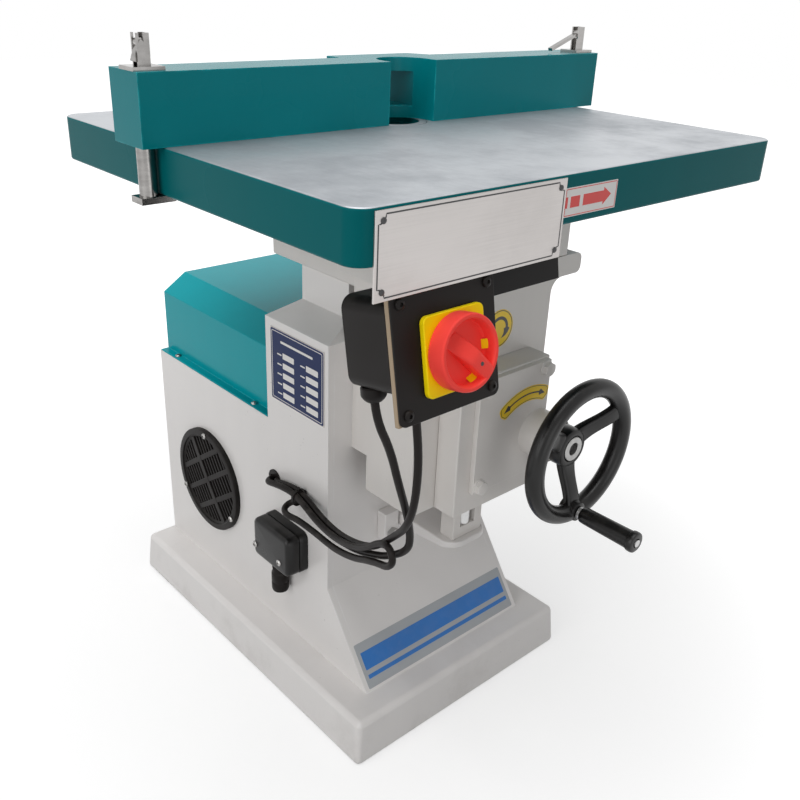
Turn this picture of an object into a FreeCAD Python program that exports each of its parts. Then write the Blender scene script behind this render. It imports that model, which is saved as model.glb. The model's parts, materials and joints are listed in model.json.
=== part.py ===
"""Spindle moulder: a floor machine with a rising table, a fixed spindle and a belt drive.

X runs along the table's front edge, Y points to the back, Z is up.
The origin is the middle of the base's underside.  Lengths are millimetres, angles are degrees.
"""
import FreeCAD, Part
import math
import os
from types import SimpleNamespace

import Sketcher

# Driving dimensions

SIZES = {
    # general fits
    "overrun": 2.0,
    "slide_clearance": 0.1,
    "running_clearance": 0.05,
    "free_gap": 0.3,
    # base plinth
    "base_length": 424.0,
    "base_depth": 610.0,
    "base_height": 70.0,
    "base_draft": 6.0,
    "base_wall": 12.0,
    # stand of welded plates
    "stand_width": 318.0,
    "stand_front": 166.0,
    "stand_back": 290.0,
    "column_depth": 141.0,
    "cabinet_height": 420.0,
    "plate_thickness": 10.0,
    "skirt_reach": 93.0,
    "skirt_drop": 69.0,
    # column head
    "shoulder_height": 17.0,
    "neck_height": 50.0,
    "neck_width": 214.0,
    "neck_depth": 101.0,
    "seam_gap": 2.0,
    "head_tube_radius": 58.0,
    "head_tube_top_gap": 18.0,
    "head_tube_low_gap": 5.0,
    "belt_door_height": 40.0,
    # spindle
    "spindle_setback": 90.0,
    "bearing_bore": 50.0,
    "bearing_outer": 90.0,
    "bearing_width": 20.0,
    "bearing_inset": 15.0,
    "spindle_collar": 5.0,
    "spindle_tail_radius": 20.0,
    "nose_radius": 22.0,
    "nose_below_table": 24.0,
    "socket_bore": 24.0,
    "socket_depth": 60.0,
    # belt drive and motor
    "belt_drop": 5.0,
    "belt_width": 30.0,
    "belt_thickness": 4.0,
    "pulley_width": 40.0,
    "spindle_pulley_radius": 34.0,
    "motor_pulley_radius": 78.0,
    "motor_setback": 128.0,
    "motor_radius": 85.0,
    "motor_floor_gap": 61.0,
    "motor_shaft_radius": 14.0,
    "motor_shaft_sunk": 60.0,
    "motor_plate_thickness": 12.0,
    "motor_plate_gap": 12.0,
    "motor_plate_length": 216.0,
    "motor_plate_hole": 40.0,
    "motor_flange_radius": 100.0,
    "motor_flange_thickness": 14.0,
    # table
    "table_height": 830.0,
    "table_length": 686.0,
    "table_depth": 574.0,
    "table_front": 440.0,
    "table_thickness": 52.0,
    "table_plate": 26.0,
    "table_rim": 24.0,
    "table_corner": 20.0,
    "ring_outer": 92.0,
    "ring_bore": 74.0,
    "ring_thickness": 8.0,
    # table support, a box frame between knee and table
    "support_height": 105.0,
    "support_wall": 14.0,
    "support_pad_width": 292.0,
    "shroud_width": 232.0,
    "shroud_back": 17.0,
    # knee
    "knee_width": 238.0,
    "knee_reach": 122.0,
    "knee_height": 305.0,
    "knee_step_height": 52.0,
    "knee_step_depth": 32.0,
    "ear_width": 354.0,
    "ear_depth": 45.0,
    "ear_thickness": 28.0,
    "ear_fillet": 20.0,
    "ear_round": 9.0,
    "way_root_width": 84.0,
    "way_face_width": 112.0,
    "way_depth": 24.0,
    "lift_travel": 80.0,
    # gear case
    "case_offset": 3.75,
    "case_width": 163.5,
    "case_depth": 37.0,
    "case_height": 190.0,
    "case_wall": 10.0,
    "cover_margin": 6.0,
    "cover_left_margin": 25.0,
    "cover_low_margin": 30.0,
    "cover_lap": 8.0,
    "cover_thickness": 8.0,
    "cavity_depth": 60.0,
    "cavity_width": 136.0,
    "cavity_height": 148.0,
    "shaft_offset": 60.0,
    "shaft_rise": 89.0,
    "shaft_radius": 10.0,
    "shaft_seat": 14.0,
    "boss_radius": 32.0,
    "boss_length": 33.0,
    "collar_radius": 24.0,
    "collar_length": 12.0,
    "hex_flat": 17.0,
    "hex_height": 9.0,
    "cover_bolt_inset": 10.0,
    # lead screw and its nut
    "screw_radius": 12.0,
    "screw_spare": 26.0,
    "nut_radius": 38.0,
    "nut_length": 60.0,
    "pinion_length": 36.0,
    "gear_backlash": 0.6,
    "tooth_radius": 2.4,
    "block_width": 55.0,
    "block_depth": 26.0,
    "block_height": 39.0,
    "slot_floor": 17.0,
    "slot_gap": 2.0,
    "screw_gap": 9.0,
    "stub_radius": 6.0,
    "stub_sunk": 12.0,
    "block_clear": 40.0,
    "block_setback": 7.0,
    "ledge_thickness": 20.0,
    "ledge_width": 78.0,
    "ledge_tip": 9.0,
    "ledge_corner": 24.0,
    "ledge_overhang": 2.0,
    "stop_lug_width": 26.0,
    "stop_lug_height": 54.0,
    "stop_lug_depth": 18.0,
    "stop_lug_drop": 25.0,
    "stop_lug_inset": 91.0,
    "stop_bolt_rise": 6.0,
    # handwheel
    "wheel_diameter": 200.0,
    "rim_thickness": 24.5,
    "hub_radius": 27.0,
    "hub_length": 20.0,
    "wheel_dish": 21.0,
    "spoke_width": 27.0,
    "spoke_depth": 13.0,
    "hub_insert_radius": 17.0,
    "hub_insert_bore": 9.0,
    "hub_insert_sunk": 8.0,
    "hub_insert_stand": 1.0,
    "grip_circle": 84.0,
    "grip_pin_radius": 5.0,
    "grip_collar_radius": 9.0,
    "grip_collar_length": 6.0,
    "grip_length": 84.0,
    "grip_radius": 11.0,
    "grip_end_radius": 14.0,
    # fence
    "fence_length": 743.0,
    "fence_shift": 3.5,
    "fence_depth": 62.0,
    "fence_height": 75.0,
    "fence_lead": 36.0,
    "pocket_radius": 38.0,
    "pocket_depth": 52.0,
    "boss_width": 136.0,
    "boss_depth": 27.0,
    "boss_taper": 17.0,
    "window_width": 48.0,
    "window_height": 43.0,
    "window_sill": 15.0,
    "window_shift": 8.0,
    # fence clamps
    "post_radius": 10.0,
    "post_gap": 1.2,
    "post_setback": 22.0,
    "foot_length": 40.0,
    "foot_heel": 4.5,
    "foot_width": 24.0,
    "foot_thickness": 7.0,
    "clamp_plate_length": 36.0,
    "clamp_plate_width": 30.0,
    "clamp_plate_thickness": 4.0,
    "clamp_inset": 3.7,
    "channel_height": 31.0,
    "channel_width": 12.0,
    "channel_depth": 14.0,
    "channel_wall": 2.0,
    "channel_hole_radius": 2.5,
    "channel_hole_drop": 14.0,
    "fork_gap": 5.4,
    "lever_pivot_drop": 9.0,
    "lever_pivot_shift": 2.0,
    "lever_pin_radius": 2.5,
    "lever_eye_radius": 4.5,
    "lever_thickness": 4.0,
    "left_lever_reach": 7.0,
    "left_lever_drop": 18.0,
    "right_lever_reach": 58.0,
    "right_lever_drop": 21.0,
    # motor cover
    "cover_inset": 13.0,
    "cover_height": 126.0,
    "cover_chamfer_height": 26.0,
    "cover_chamfer_width": 40.0,
    "sheet_thickness": 2.0,
    "cover_back_inset": 2.0,
    "cover_screw_inset": 46.0,
    # vent grille
    "vent_radius": 88.0,
    "vent_hole_radius": 74.0,
    "vent_depth": 8.0,
    "vent_from_back": 142.0,
    "vent_rise": 168.0,
    "slat_pitch": 9.3,
    "slat_width": 3.6,
    "slat_depth": 3.0,
    "bar_width": 9.0,
    "small_screw_radius": 5.0,
    "small_screw_height": 3.0,
    # junction box
    "junction_length": 90.0,
    "junction_height": 67.0,
    "junction_depth": 28.0,
    "junction_corner": 7.0,
    "junction_lid": 8.0,
    "junction_from_front": 46.0,
    "junction_rise": 4.0,
    "gland_radius": 12.5,
    "gland_nut": 23.0,
    "gland_nut_length": 14.0,
    "gland_from_front": 52.0,
    "lid_screw_rise": 20.0,
    "lid_screw_front": 22.0,
    "lid_screw_back": 7.0,
    "gland_length": 54.0,
    # plates with no lettering
    "data_plate_width": 120.0,
    "data_plate_height": 107.0,
    "data_plate_drop": 11.0,
    "data_plate_setback": 8.0,
    "name_plate_width": 250.0,
    "name_plate_height": 81.0,
    "name_plate_thickness": 2.0,
    "name_plate_inset": 19.0,
    "name_plate_drop": 3.0,
    "rivet_radius": 3.0,
    "rivet_inset": 9.0,
    "rivet_height": 1.5,
    # switch unit
    "switch_left": 302.0,
    "panel_width": 133.0,
    "panel_height": 126.0,
    "panel_thickness": 3.0,
    "panel_corner": 8.0,
    "panel_drop": 29.0,
    "panel_setback": 2.5,
    "switch_tilt": 10.5,
    "backing_thickness": 6.0,
    "switch_box_width": 110.0,
    "switch_box_height": 91.0,
    "switch_box_depth": 63.0,
    "switch_box_wall": 3.0,
    "switch_box_corner": 14.0,
    "panel_screw_inset": 10.5,
    "panel_screw_radius": 5.5,
    "panel_screw_height": 3.5,
    "square_plate": 79.0,
    "square_plate_thickness": 6.0,
    "square_plate_shift": 5.0,
    "square_plate_drop": 3.0,
    "square_plate_corner": 7.0,
    "knob_radius": 38.0,
    "knob_depth": 20.0,
    "knob_wall": 7.0,
    "knob_floor": 6.0,
    "knob_grip_width": 20.0,
    "switch_shaft_radius": 6.0,
    "bracket_thickness": 5.0,
    "bracket_reach": 132.0,
    "bracket_height": 58.0,
    "bracket_flange": 36.0,
    "switch_gland_radius": 13.0,
    "switch_gland_length": 14.0,
    "switch_gland_inset": 19.0,
    "switch_gland_setback": 50.0,
    "second_gland_inset": 56.0,
    "second_gland_setback": 33.0,
    # cables
    "cable_radius": 4.5,
    "strand_gap": 0.8,
    "gland_run": 22.0,
    "fold_width": 18.0,
    "fold_reach": 40.0,
    "fold_drop": 12.0,
    "fold_lead": 22.0,
    "fold_rise": 3.0,
    "turn_reach": 32.0,
    "entry_drop": 10.0,
    "grommet_radius": 14.0,
    "grommet_lip": 4.0,
    "grommet_depth": 2.0,
    "cable_ease": 0.1,
    "mouth_ease": 0.7,
    "grommet_setback": 126.0,
    "grommet_rise": 256.0,
    "tie_setback": 76.0,
    "tie_rise": 9.0,
    "tie_width": 5.0,
    "tie_thickness": 1.6,
    "tie_gap": 1.4,
}

DOC = FreeCAD.newDocument("spindle_moulder")
SHEET = DOC.addObject("Spreadsheet::Sheet", "Sizes")
NUT_TEETH = 24
PINION_TEETH = 18
SPOKE_ANGLES = (29, 149, 269)
KNOB_BAR_ANGLE = 47
VENT_ANGLE = 35
NODES = {}


class Size:
    """A length with its worth and the sheet formula that gives it."""

    def __init__(self, text, value):
        self.text = text
        self.value = value

    def __add__(self, other):
        other = as_size(other)
        return Size(f"({self.text} + {other.text})", self.value + other.value)

    def __sub__(self, other):
        other = as_size(other)
        return Size(f"({self.text} - {other.text})", self.value - other.value)

    def __mul__(self, share):
        return Size(f"({self.text} * {share})", self.value * share)

    def __truediv__(self, share):
        return Size(f"({self.text} / {share})", self.value / share)

    def __neg__(self):
        return Size(f"(-1 * {self.text})", -self.value)


def as_size(thing):
    """A plain number becomes a size with that number as its formula."""
    return thing if isinstance(thing, Size) else Size(repr(float(thing)), float(thing))


def fill_sheet():
    """Write every driving dimension into the sheet and hand back sizes that refer to it."""
    for row, (name, value) in enumerate(SIZES.items(), start=1):
        SHEET.set(f"A{row}", name)
        SHEET.set(f"B{row}", str(value))
        SHEET.setAlias(f"B{row}", name)
    DOC.recompute()
    return SimpleNamespace(**{name: Size(f"Sizes.{name}", float(SHEET.get(name))) for name in SIZES})


s = fill_sheet()
ZERO = as_size(0)

# Helpers

TURNS = {
    "X": FreeCAD.Rotation(FreeCAD.Vector(0, 1, 0), 90),
    "Y": FreeCAD.Rotation(FreeCAD.Vector(1, 0, 0), -90),
    "Z": FreeCAD.Rotation(),
}
UNITS = {"X": FreeCAD.Vector(1, 0, 0), "Y": FreeCAD.Vector(0, 1, 0), "Z": FreeCAD.Vector(0, 0, 1)}
OUTLINE_TURNS = {
    "X": FreeCAD.Rotation(UNITS["Y"], UNITS["Z"], UNITS["X"], "ZXY"),
    "Y": FreeCAD.Rotation(UNITS["X"], UNITS["Z"], -UNITS["Y"], "ZXY"),
    "Z": FreeCAD.Rotation(),
}


def bind(piece, prop, size):
    """Tie one property of a piece to the sheet."""
    piece.setExpression(prop, as_size(size).text)


def place(piece, x, y, z, turn=None):
    """Stand a piece at a place, after an optional turn."""
    if turn:
        piece.Placement = FreeCAD.Placement(FreeCAD.Vector(), turn)
    for axis, size in zip("xyz", (x, y, z)):
        bind(piece, f"Placement.Base.{axis}", size)
    return piece


def box(name, x, y, z):
    """A block between two planes along each axis."""
    piece = DOC.addObject("Part::Box", name)
    for prop, (low, high) in zip(("Length", "Width", "Height"), (x, y, z)):
        bind(piece, prop, as_size(high) - low)
    return place(piece, x[0], y[0], z[0])


def rod(name, axis, radius, span, centre):
    """A cylinder along an axis; the centre holds the other two coordinates in order."""
    piece = DOC.addObject("Part::Cylinder", name)
    low, high = span
    bind(piece, "Radius", radius)
    bind(piece, "Height", as_size(high) - low)
    where = list(centre)
    where.insert("XYZ".index(axis), low)
    return place(piece, *where, turn=TURNS[axis])


def hexagon(name, axis, flat, span, centre):
    """A hexagon bar along an axis."""
    piece = DOC.addObject("Part::Prism", name)
    low, high = span
    piece.Polygon = 6
    bind(piece, "Circumradius", flat / math.sqrt(3))
    bind(piece, "Height", as_size(high) - low)
    where = list(centre)
    where.insert("XYZ".index(axis), low)
    return place(piece, *where, turn=TURNS[axis])


def prism(name, axis, points, span):
    """An outline across an axis, drawn as a sketch and carried along the axis."""
    sketch = DOC.addObject("Sketcher::SketchObject", f"{name}_outline")
    corners = [tuple(as_size(value) for value in point) for point in points]
    count = len(corners)
    for index in range(count):
        start = FreeCAD.Vector(corners[index][0].value, corners[index][1].value, 0)
        following = corners[(index + 1) % count]
        sketch.addGeometry(Part.LineSegment(start, FreeCAD.Vector(following[0].value, following[1].value, 0)))
    for index in range(count):
        sketch.addConstraint(Sketcher.Constraint("Coincident", index, 2, (index + 1) % count, 1))
    for index, corner in enumerate(corners):
        for kind, size in zip(("DistanceX", "DistanceY"), corner):
            number = sketch.addConstraint(Sketcher.Constraint(kind, -1, 1, index, 1, size.value))
            sketch.setExpression(f"Constraints[{number}]", size.text)
    low, high = span
    start = {"X": (low, ZERO, ZERO), "Y": (ZERO, low, ZERO), "Z": (ZERO, ZERO, low)}[axis]
    place(sketch, *start, turn=OUTLINE_TURNS[axis])
    piece = DOC.addObject("Part::Extrusion", name)
    piece.Base = sketch
    piece.DirMode = "Custom"
    piece.Dir = UNITS[axis]
    piece.Solid = True
    bind(piece, "LengthFwd", as_size(high) - low)
    return piece


def frustum(name, foot_x, foot_y, head_x, head_y, z):
    """A block whose top is a smaller rectangle than its foot."""
    piece = DOC.addObject("Part::Wedge", name)
    limits = {"Xmin": foot_x[0], "Xmax": foot_x[1], "X2min": head_x[0], "X2max": head_x[1],
              "Zmin": -foot_y[1], "Zmax": -foot_y[0], "Z2min": -head_y[1], "Z2max": -head_y[0],
              "Ymin": z[0], "Ymax": z[1]}
    for prop, size in limits.items():
        bind(piece, prop, size)
    piece.Placement = FreeCAD.Placement(FreeCAD.Vector(), FreeCAD.Rotation(UNITS["X"], 90))
    return piece


def fuse(name, *pieces):
    """One solid of several touching pieces."""
    piece = DOC.addObject("Part::MultiFuse", name)
    piece.Shapes = list(pieces)
    piece.Refine = True
    return piece


def cut(name, base, *tools):
    """A base with tools taken out of it."""
    piece = DOC.addObject("Part::Cut", name)
    piece.Base = base
    piece.Tool = tools[0] if len(tools) == 1 else fuse(f"{name}_tools", *tools)
    return piece


def common(name, base, tool):
    """What two pieces share."""
    piece = DOC.addObject("Part::Common", name)
    piece.Base = base
    piece.Tool = tool
    return piece


def group(name, pieces):
    """Several separate solids of one kind in one sub-part."""
    piece = DOC.addObject("Part::Compound", name)
    piece.Links = list(pieces)
    return piece


def rounded(name, axis, across, up, span, radius):
    """A slab whose four long edges along an axis are rounded."""
    def slab(tag, inset_across, inset_up):
        sides = [(across[0] + inset_across, across[1] - inset_across), (up[0] + inset_up, up[1] - inset_up)]
        sides.insert("XYZ".index(axis), span)
        return box(f"{name}_{tag}", *sides)

    corners = [(across[0] + radius, up[0] + radius), (across[1] - radius, up[0] + radius),
               (across[0] + radius, up[1] - radius), (across[1] - radius, up[1] - radius)]
    rods = [rod(f"{name}_corner{index}", axis, radius, span, corner) for index, corner in enumerate(corners)]
    return fuse(name, slab("wide", ZERO, radius), slab("tall", radius, ZERO), *rods)


def node(label, piece):
    """Name a finished sub-part."""
    piece.Label = label
    NODES[label] = piece
    return piece


def tilted(piece):
    """Lean a piece of the switch unit about the panel's top front edge."""
    spin = FreeCAD.Rotation(UNITS["X"], -s.switch_tilt.value)
    pivot = FreeCAD.Vector(0, panel_face.value, panel_top.value)
    leaning = group(f"{piece.Name}_leaning", [piece])
    leaning.Placement = FreeCAD.Placement(FreeCAD.Vector(), spin, pivot)
    return leaning


# Planes that several pieces share

table_top = s.table_height
table_bottom = table_top - s.table_thickness
table_face = -s.table_front
table_back = table_face + s.table_depth
knee_top = table_bottom - s.support_height
knee_bottom = knee_top - s.knee_height
shroud_bottom = knee_top - s.ear_thickness
neck_top = shroud_bottom - s.seam_gap
shoulder_top = neck_top - s.neck_height
column_top = shoulder_top - s.shoulder_height
stand_face = -s.stand_front
step_back = stand_face + s.column_depth
half_stand = s.stand_width / 2
inner_half = half_stand - s.plate_thickness
spindle_y = -s.spindle_setback
knee_face = stand_face - s.knee_reach
block_top = knee_bottom - s.block_clear
ledge_top = block_top - s.block_height
ledge_bottom = ledge_top - s.ledge_thickness
skirt_top = ledge_bottom - s.skirt_drop
belt_level = s.cabinet_height - s.belt_drop
pulley_low = belt_level - s.pulley_width / 2
pulley_high = belt_level + s.pulley_width / 2
case_face = knee_face - s.case_depth
cover_face = case_face - s.cover_thickness
shaft_x = s.shaft_offset
shaft_z = knee_bottom + s.shaft_rise
screw_y = knee_face + s.block_setback + s.block_depth / 2
panel_face = table_face + s.panel_setback
panel_top = table_bottom - s.panel_drop


# Stand

def make_base():
    """Base plinth: a welded box with sloping sides."""
    half_x = s.base_length / 2
    half_y = s.base_depth / 2
    outer = frustum("base_outer", (-half_x, half_x), (-half_y, half_y),
                    (-half_x + s.base_draft, half_x - s.base_draft),
                    (-half_y + s.base_draft, half_y - s.base_draft), (ZERO, s.base_height))
    inset = s.base_wall + s.base_draft
    hollow = box("base_hollow", (-half_x + inset, half_x - inset), (-half_y + inset, half_y - inset),
                 (s.base_wall, s.base_height - s.base_wall))
    node("base_plinth", cut("base", outer, hollow))


def make_stand_plates():
    """Two side plates with the stepped outline, a folded front plate and the plates at the back."""
    outline = [(s.stand_back, s.base_height), (s.stand_back, s.cabinet_height), (step_back, s.cabinet_height),
               (step_back, column_top), (stand_face, column_top), (stand_face, skirt_top),
               (stand_face - s.skirt_reach, s.base_height)]
    right = prism("right_plate", "X", outline, (inner_half, half_stand))
    node("side_plate_right", right)
    left = prism("left_plate", "X", outline, (-half_stand, -inner_half))
    through = (-half_stand - s.overrun, -inner_half + s.overrun)
    vent = rod("vent_hole", "X", s.vent_hole_radius, through, (vent_y, vent_z))
    entry = rod("cable_hole", "X", s.grommet_radius - s.grommet_lip, through, (grommet_y, grommet_z))
    node("side_plate_left", cut("left_plate_holed", left, vent, entry))
    slope = math.hypot(s.skirt_reach.value, (skirt_top - s.base_height).value)
    slope_width = s.plate_thickness * (slope / (skirt_top - s.base_height).value)
    rise = s.plate_thickness * math.tan(0.5 * math.atan2(s.skirt_reach.value,
                                                         (skirt_top - s.base_height).value))
    front = [(stand_face, column_top), (stand_face, skirt_top), (stand_face - s.skirt_reach, s.base_height),
             (stand_face - s.skirt_reach + slope_width, s.base_height),
             (stand_face + s.plate_thickness, skirt_top - rise), (stand_face + s.plate_thickness, column_top)]
    node("front_plate", prism("front", "X", front, (-inner_half, inner_half)))
    rear = box("cabinet_rear", (-inner_half, inner_half), (s.stand_back - s.plate_thickness, s.stand_back),
               (s.base_height, s.cabinet_height))
    wall_z = (s.cabinet_height + s.belt_door_height, column_top)
    wall = box("column_rear", (-inner_half, inner_half), (step_back - s.plate_thickness, step_back), wall_z)
    relief = rod("tube_relief", "Z", s.head_tube_radius + s.running_clearance,
                 (wall_z[0] - s.overrun, wall_z[1] + s.overrun), (ZERO, spindle_y))
    node("rear_plate", group("rear_plates", [rear, cut("column_rear_relieved", wall, relief)]))


def make_column_head():
    """Column head with its sloped shoulder and neck, and the bored spindle tube that is set in it."""
    half_neck = s.neck_width / 2
    neck_y = (spindle_y - s.neck_depth / 2, spindle_y + s.neck_depth / 2)
    centre = (ZERO, spindle_y)
    shoulder = frustum("shoulder", (-half_stand, half_stand), (stand_face, step_back),
                       (-half_neck, half_neck), neck_y, (column_top, shoulder_top))
    neck = box("neck", (-half_neck, half_neck), neck_y, (shoulder_top, neck_top))
    seat = rod("tube_seat", "Z", s.head_tube_radius + s.running_clearance,
               (column_top - s.overrun, neck_top + s.overrun), centre)
    node("column_head", cut("head", fuse("head_solid", shoulder, neck), seat))
    tube = rod("tube_body", "Z", s.head_tube_radius, (head_tube_low, head_tube_high), centre)
    bore = rod("tube_bore", "Z", s.bearing_outer / 2 + s.running_clearance,
               (head_tube_low - s.overrun, head_tube_high + s.overrun), centre)
    node("spindle_tube", cut("bored_tube", tube, bore))


# Spindle and belt drive

def make_spindle():
    """Spindle shaft with its socket nose, two bearings and the pulley on its tail."""
    centre = (ZERO, spindle_y)
    seat = s.bearing_bore / 2
    journal = seat - s.running_clearance
    bearings = []
    for index, (low, high) in enumerate((lower_bearing, upper_bearing)):
        ring = rod(f"bearing_ring{index}", "Z", s.bearing_outer / 2, (low, high), centre)
        hole = rod(f"bearing_hole{index}", "Z", seat, (low - s.overrun, high + s.overrun), centre)
        bearings.append(cut(f"bearing{index}", ring, hole))
    node("spindle_bearings", group("bearings", bearings))
    tail = rod("spindle_tail", "Z", s.spindle_tail_radius, (pulley_low, lower_bearing[0]), centre)
    body = rod("spindle_body", "Z", journal, (lower_bearing[0], upper_bearing[1] + s.bearing_inset), centre)
    collar = rod("spindle_middle", "Z", seat + s.spindle_collar,
                 (lower_bearing[1] + s.free_gap, upper_bearing[0] - s.free_gap), centre)
    nose = rod("spindle_nose", "Z", s.nose_radius, (upper_bearing[1], nose_top), centre)
    socket = rod("spindle_socket", "Z", s.socket_bore / 2,
                 (nose_top - s.socket_depth, nose_top + s.overrun), centre)
    node("spindle_shaft", cut("spindle", fuse("spindle_solid", tail, body, collar, nose), socket))
    wheel = rod("tail_pulley", "Z", s.spindle_pulley_radius, (pulley_low, pulley_high), centre)
    hole = rod("tail_pulley_hole", "Z", s.spindle_tail_radius + s.running_clearance,
               (pulley_low - s.overrun, pulley_high + s.overrun), centre)
    node("spindle_pulley", cut("spindle_pulley_bored", wheel, hole))


def make_motor():
    """Motor hung under a plate between the side plates, its shaft up, with a pulley."""
    centre = (ZERO, s.motor_setback)
    frame = rod("motor_frame", "Z", s.motor_radius, (s.base_height + s.motor_floor_gap, motor_top), centre)
    flange = rod("motor_flange", "Z", s.motor_flange_radius,
                 (motor_top - s.motor_flange_thickness, motor_top), centre)
    hole = rod("motor_bore", "Z", s.motor_shaft_radius + s.running_clearance,
               (motor_top - s.motor_shaft_sunk, motor_top + s.overrun), centre)
    node("motor_housing", cut("motor", fuse("motor_solid", frame, flange), hole))
    half_plate = s.motor_plate_length / 2
    plate = box("mount_plate", (-inner_half, inner_half),
                (s.motor_setback - half_plate, s.motor_setback + half_plate),
                (motor_top, motor_top + s.motor_plate_thickness))
    eye = rod("mount_plate_eye", "Z", s.motor_plate_hole,
              (motor_top - s.overrun, motor_top + s.motor_plate_thickness + s.overrun), centre)
    node("motor_plate", cut("mount_plate_holed", plate, eye))
    node("motor_shaft", rod("rotor_shaft", "Z", s.motor_shaft_radius,
                            (motor_top - s.motor_shaft_sunk, pulley_high), centre))
    wheel = rod("drive_pulley", "Z", s.motor_pulley_radius, (pulley_low, pulley_high), centre)
    bore = rod("drive_pulley_hole", "Z", s.motor_shaft_radius + s.running_clearance,
               (pulley_low - s.overrun, pulley_high + s.overrun), centre)
    node("motor_pulley", cut("motor_pulley_bored", wheel, bore))


def belt_loop(gap):
    """The face of a belt loop, a set distance outside both pulleys."""
    small = s.spindle_pulley_radius.value + gap
    large = s.motor_pulley_radius.value + gap
    near = spindle_y.value
    far = s.motor_setback.value
    lean = math.asin((large - small) / (far - near))
    across = math.cos(lean)
    along = -math.sin(lean)
    near_right = FreeCAD.Vector(small * across, near + small * along, 0)
    near_left = FreeCAD.Vector(-small * across, near + small * along, 0)
    far_right = FreeCAD.Vector(large * across, far + large * along, 0)
    far_left = FreeCAD.Vector(-large * across, far + large * along, 0)
    edges = [Part.LineSegment(near_right, far_right).toShape(),
             Part.Arc(far_right, FreeCAD.Vector(0, far + large, 0), far_left).toShape(),
             Part.LineSegment(far_left, near_left).toShape(),
             Part.Arc(near_left, FreeCAD.Vector(0, near - small, 0), near_right).toShape()]
    return Part.Face(Part.Wire(edges))


def make_belt():
    """Flat belt round both pulleys, a free gap off their faces."""
    gap = s.free_gap.value
    band = belt_loop(gap + s.belt_thickness.value).cut(belt_loop(gap))
    belt = DOC.addObject("Part::Feature", "belt")
    belt.Shape = band.extrude(FreeCAD.Vector(0, 0, s.belt_width.value))
    low = belt_level - s.belt_width / 2
    node("drive_belt", place(belt, ZERO, ZERO, low))


# Table and knee

def make_table():
    """Table: a ground plate with a deep rim and two ribs, and a ring round the spindle hole."""
    half = s.table_length / 2
    slab = rounded("table_slab", "Z", (-half, half), (table_face, table_back), (table_bottom, table_top),
                   s.table_corner)
    under = (table_bottom - s.overrun, table_top - s.table_plate)
    pockets = []
    pocket_spans = {"left": (-half + s.table_rim, -half_support), "right": (half_support, half - s.table_rim)}
    for side, x in pocket_spans.items():
        pockets.append(box(f"table_pocket_{side}", x, (table_face + bracket_land, table_back - s.table_rim),
                           under))
    seat = rod("ring_seat", "Z", s.ring_outer / 2 + s.slide_clearance,
               (table_top - s.ring_thickness, table_top + s.overrun), (ZERO, spindle_y))
    hole = rod("table_hole", "Z", s.ring_bore / 2, (table_bottom - s.overrun, table_top), (ZERO, spindle_y))
    node("table", cut("table_cast", slab, seat, hole, *pockets))
    ring = rod("ring_disc", "Z", s.ring_outer / 2, (table_top - s.ring_thickness, table_top),
               (ZERO, spindle_y))
    eye = rod("ring_eye", "Z", s.ring_bore / 2, (table_bottom, table_top + s.overrun), (ZERO, spindle_y))
    node("table_ring", cut("ring", ring, eye))


def make_table_support():
    """Box frame under the table: a pad on the knee and a shroud round the spindle tube."""
    pad_y = (knee_face, stand_face + shroud_lap)
    pad = box("pad_block", (-half_support, half_support), pad_y, (knee_top, table_bottom))
    pad_hollow = box("pad_hollow", (-half_support + s.support_wall, half_support - s.support_wall),
                     (pad_y[0] + s.support_wall, pad_y[1] - s.support_wall),
                     (knee_top - s.overrun, table_bottom + s.overrun))
    half = s.shroud_width / 2
    shroud = box("shroud_block", (-half, half), (pad_y[1], s.shroud_back), (shroud_bottom, table_bottom))
    shroud_hollow = box("shroud_hollow", (-half + s.support_wall, half - s.support_wall),
                        (pad_y[1], s.shroud_back - s.support_wall),
                        (shroud_bottom - s.overrun, table_bottom + s.overrun))
    node("table_support", fuse("support", cut("pad", pad, pad_hollow), cut("shroud", shroud, shroud_hollow)))


def make_knee():
    """Knee: a stepped block with a dovetail groove, a gear cavity and ears under the pad."""
    half = s.knee_width / 2
    back = stand_face - s.slide_clearance
    outline = [(back, knee_bottom + s.knee_step_height), (back, knee_top), (knee_face, knee_top),
               (knee_face, knee_bottom), (stand_face - s.knee_step_depth, knee_bottom),
               (stand_face - s.knee_step_depth, knee_bottom + s.knee_step_height)]
    block = prism("knee_block", "X", outline, (-half, half))
    half_ear = s.ear_width / 2
    ears = rounded("ear_bar", "Y", (-half_ear, half_ear), (shroud_bottom, knee_top),
                   (knee_face, knee_face + s.ear_depth), s.ear_round)
    webs = []
    for side in (-1, 1):
        root = half * side
        tip = (half + s.ear_fillet) * side
        low, high = (root, tip) if side > 0 else (tip, root)
        web = box(f"ear_web{side + 1}", (low, high), (knee_face, knee_face + s.ear_depth),
                  (shroud_bottom - s.ear_fillet, shroud_bottom))
        sweep = rod(f"ear_sweep{side + 1}", "Y", s.ear_fillet,
                    (knee_face - s.overrun, knee_face + s.ear_depth + s.overrun),
                    (tip, shroud_bottom - s.ear_fillet))
        webs.append(cut(f"ear_fillet{side + 1}", web, sweep))
    groove = prism("way_groove", "Z", way_outline(s.slide_clearance),
                   (knee_bottom - s.overrun, knee_top + s.overrun))
    cavity = box("gear_cavity", cavity_x, (knee_face - s.overrun, knee_face + s.cavity_depth), cavity_z)
    passage = rod("screw_passage", "Z", s.screw_radius + s.overrun,
                  (knee_bottom - s.overrun, knee_top - s.ear_thickness), (ZERO, screw_y))
    seat = rod("shaft_seat_hole", "Y", s.shaft_radius + s.running_clearance,
               (knee_face, knee_face + s.cavity_depth + s.shaft_seat), (shaft_x, shaft_z))
    node("knee", cut("knee_cast", fuse("knee_solid", block, ears, *webs), groove, cavity, passage, seat))


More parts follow.
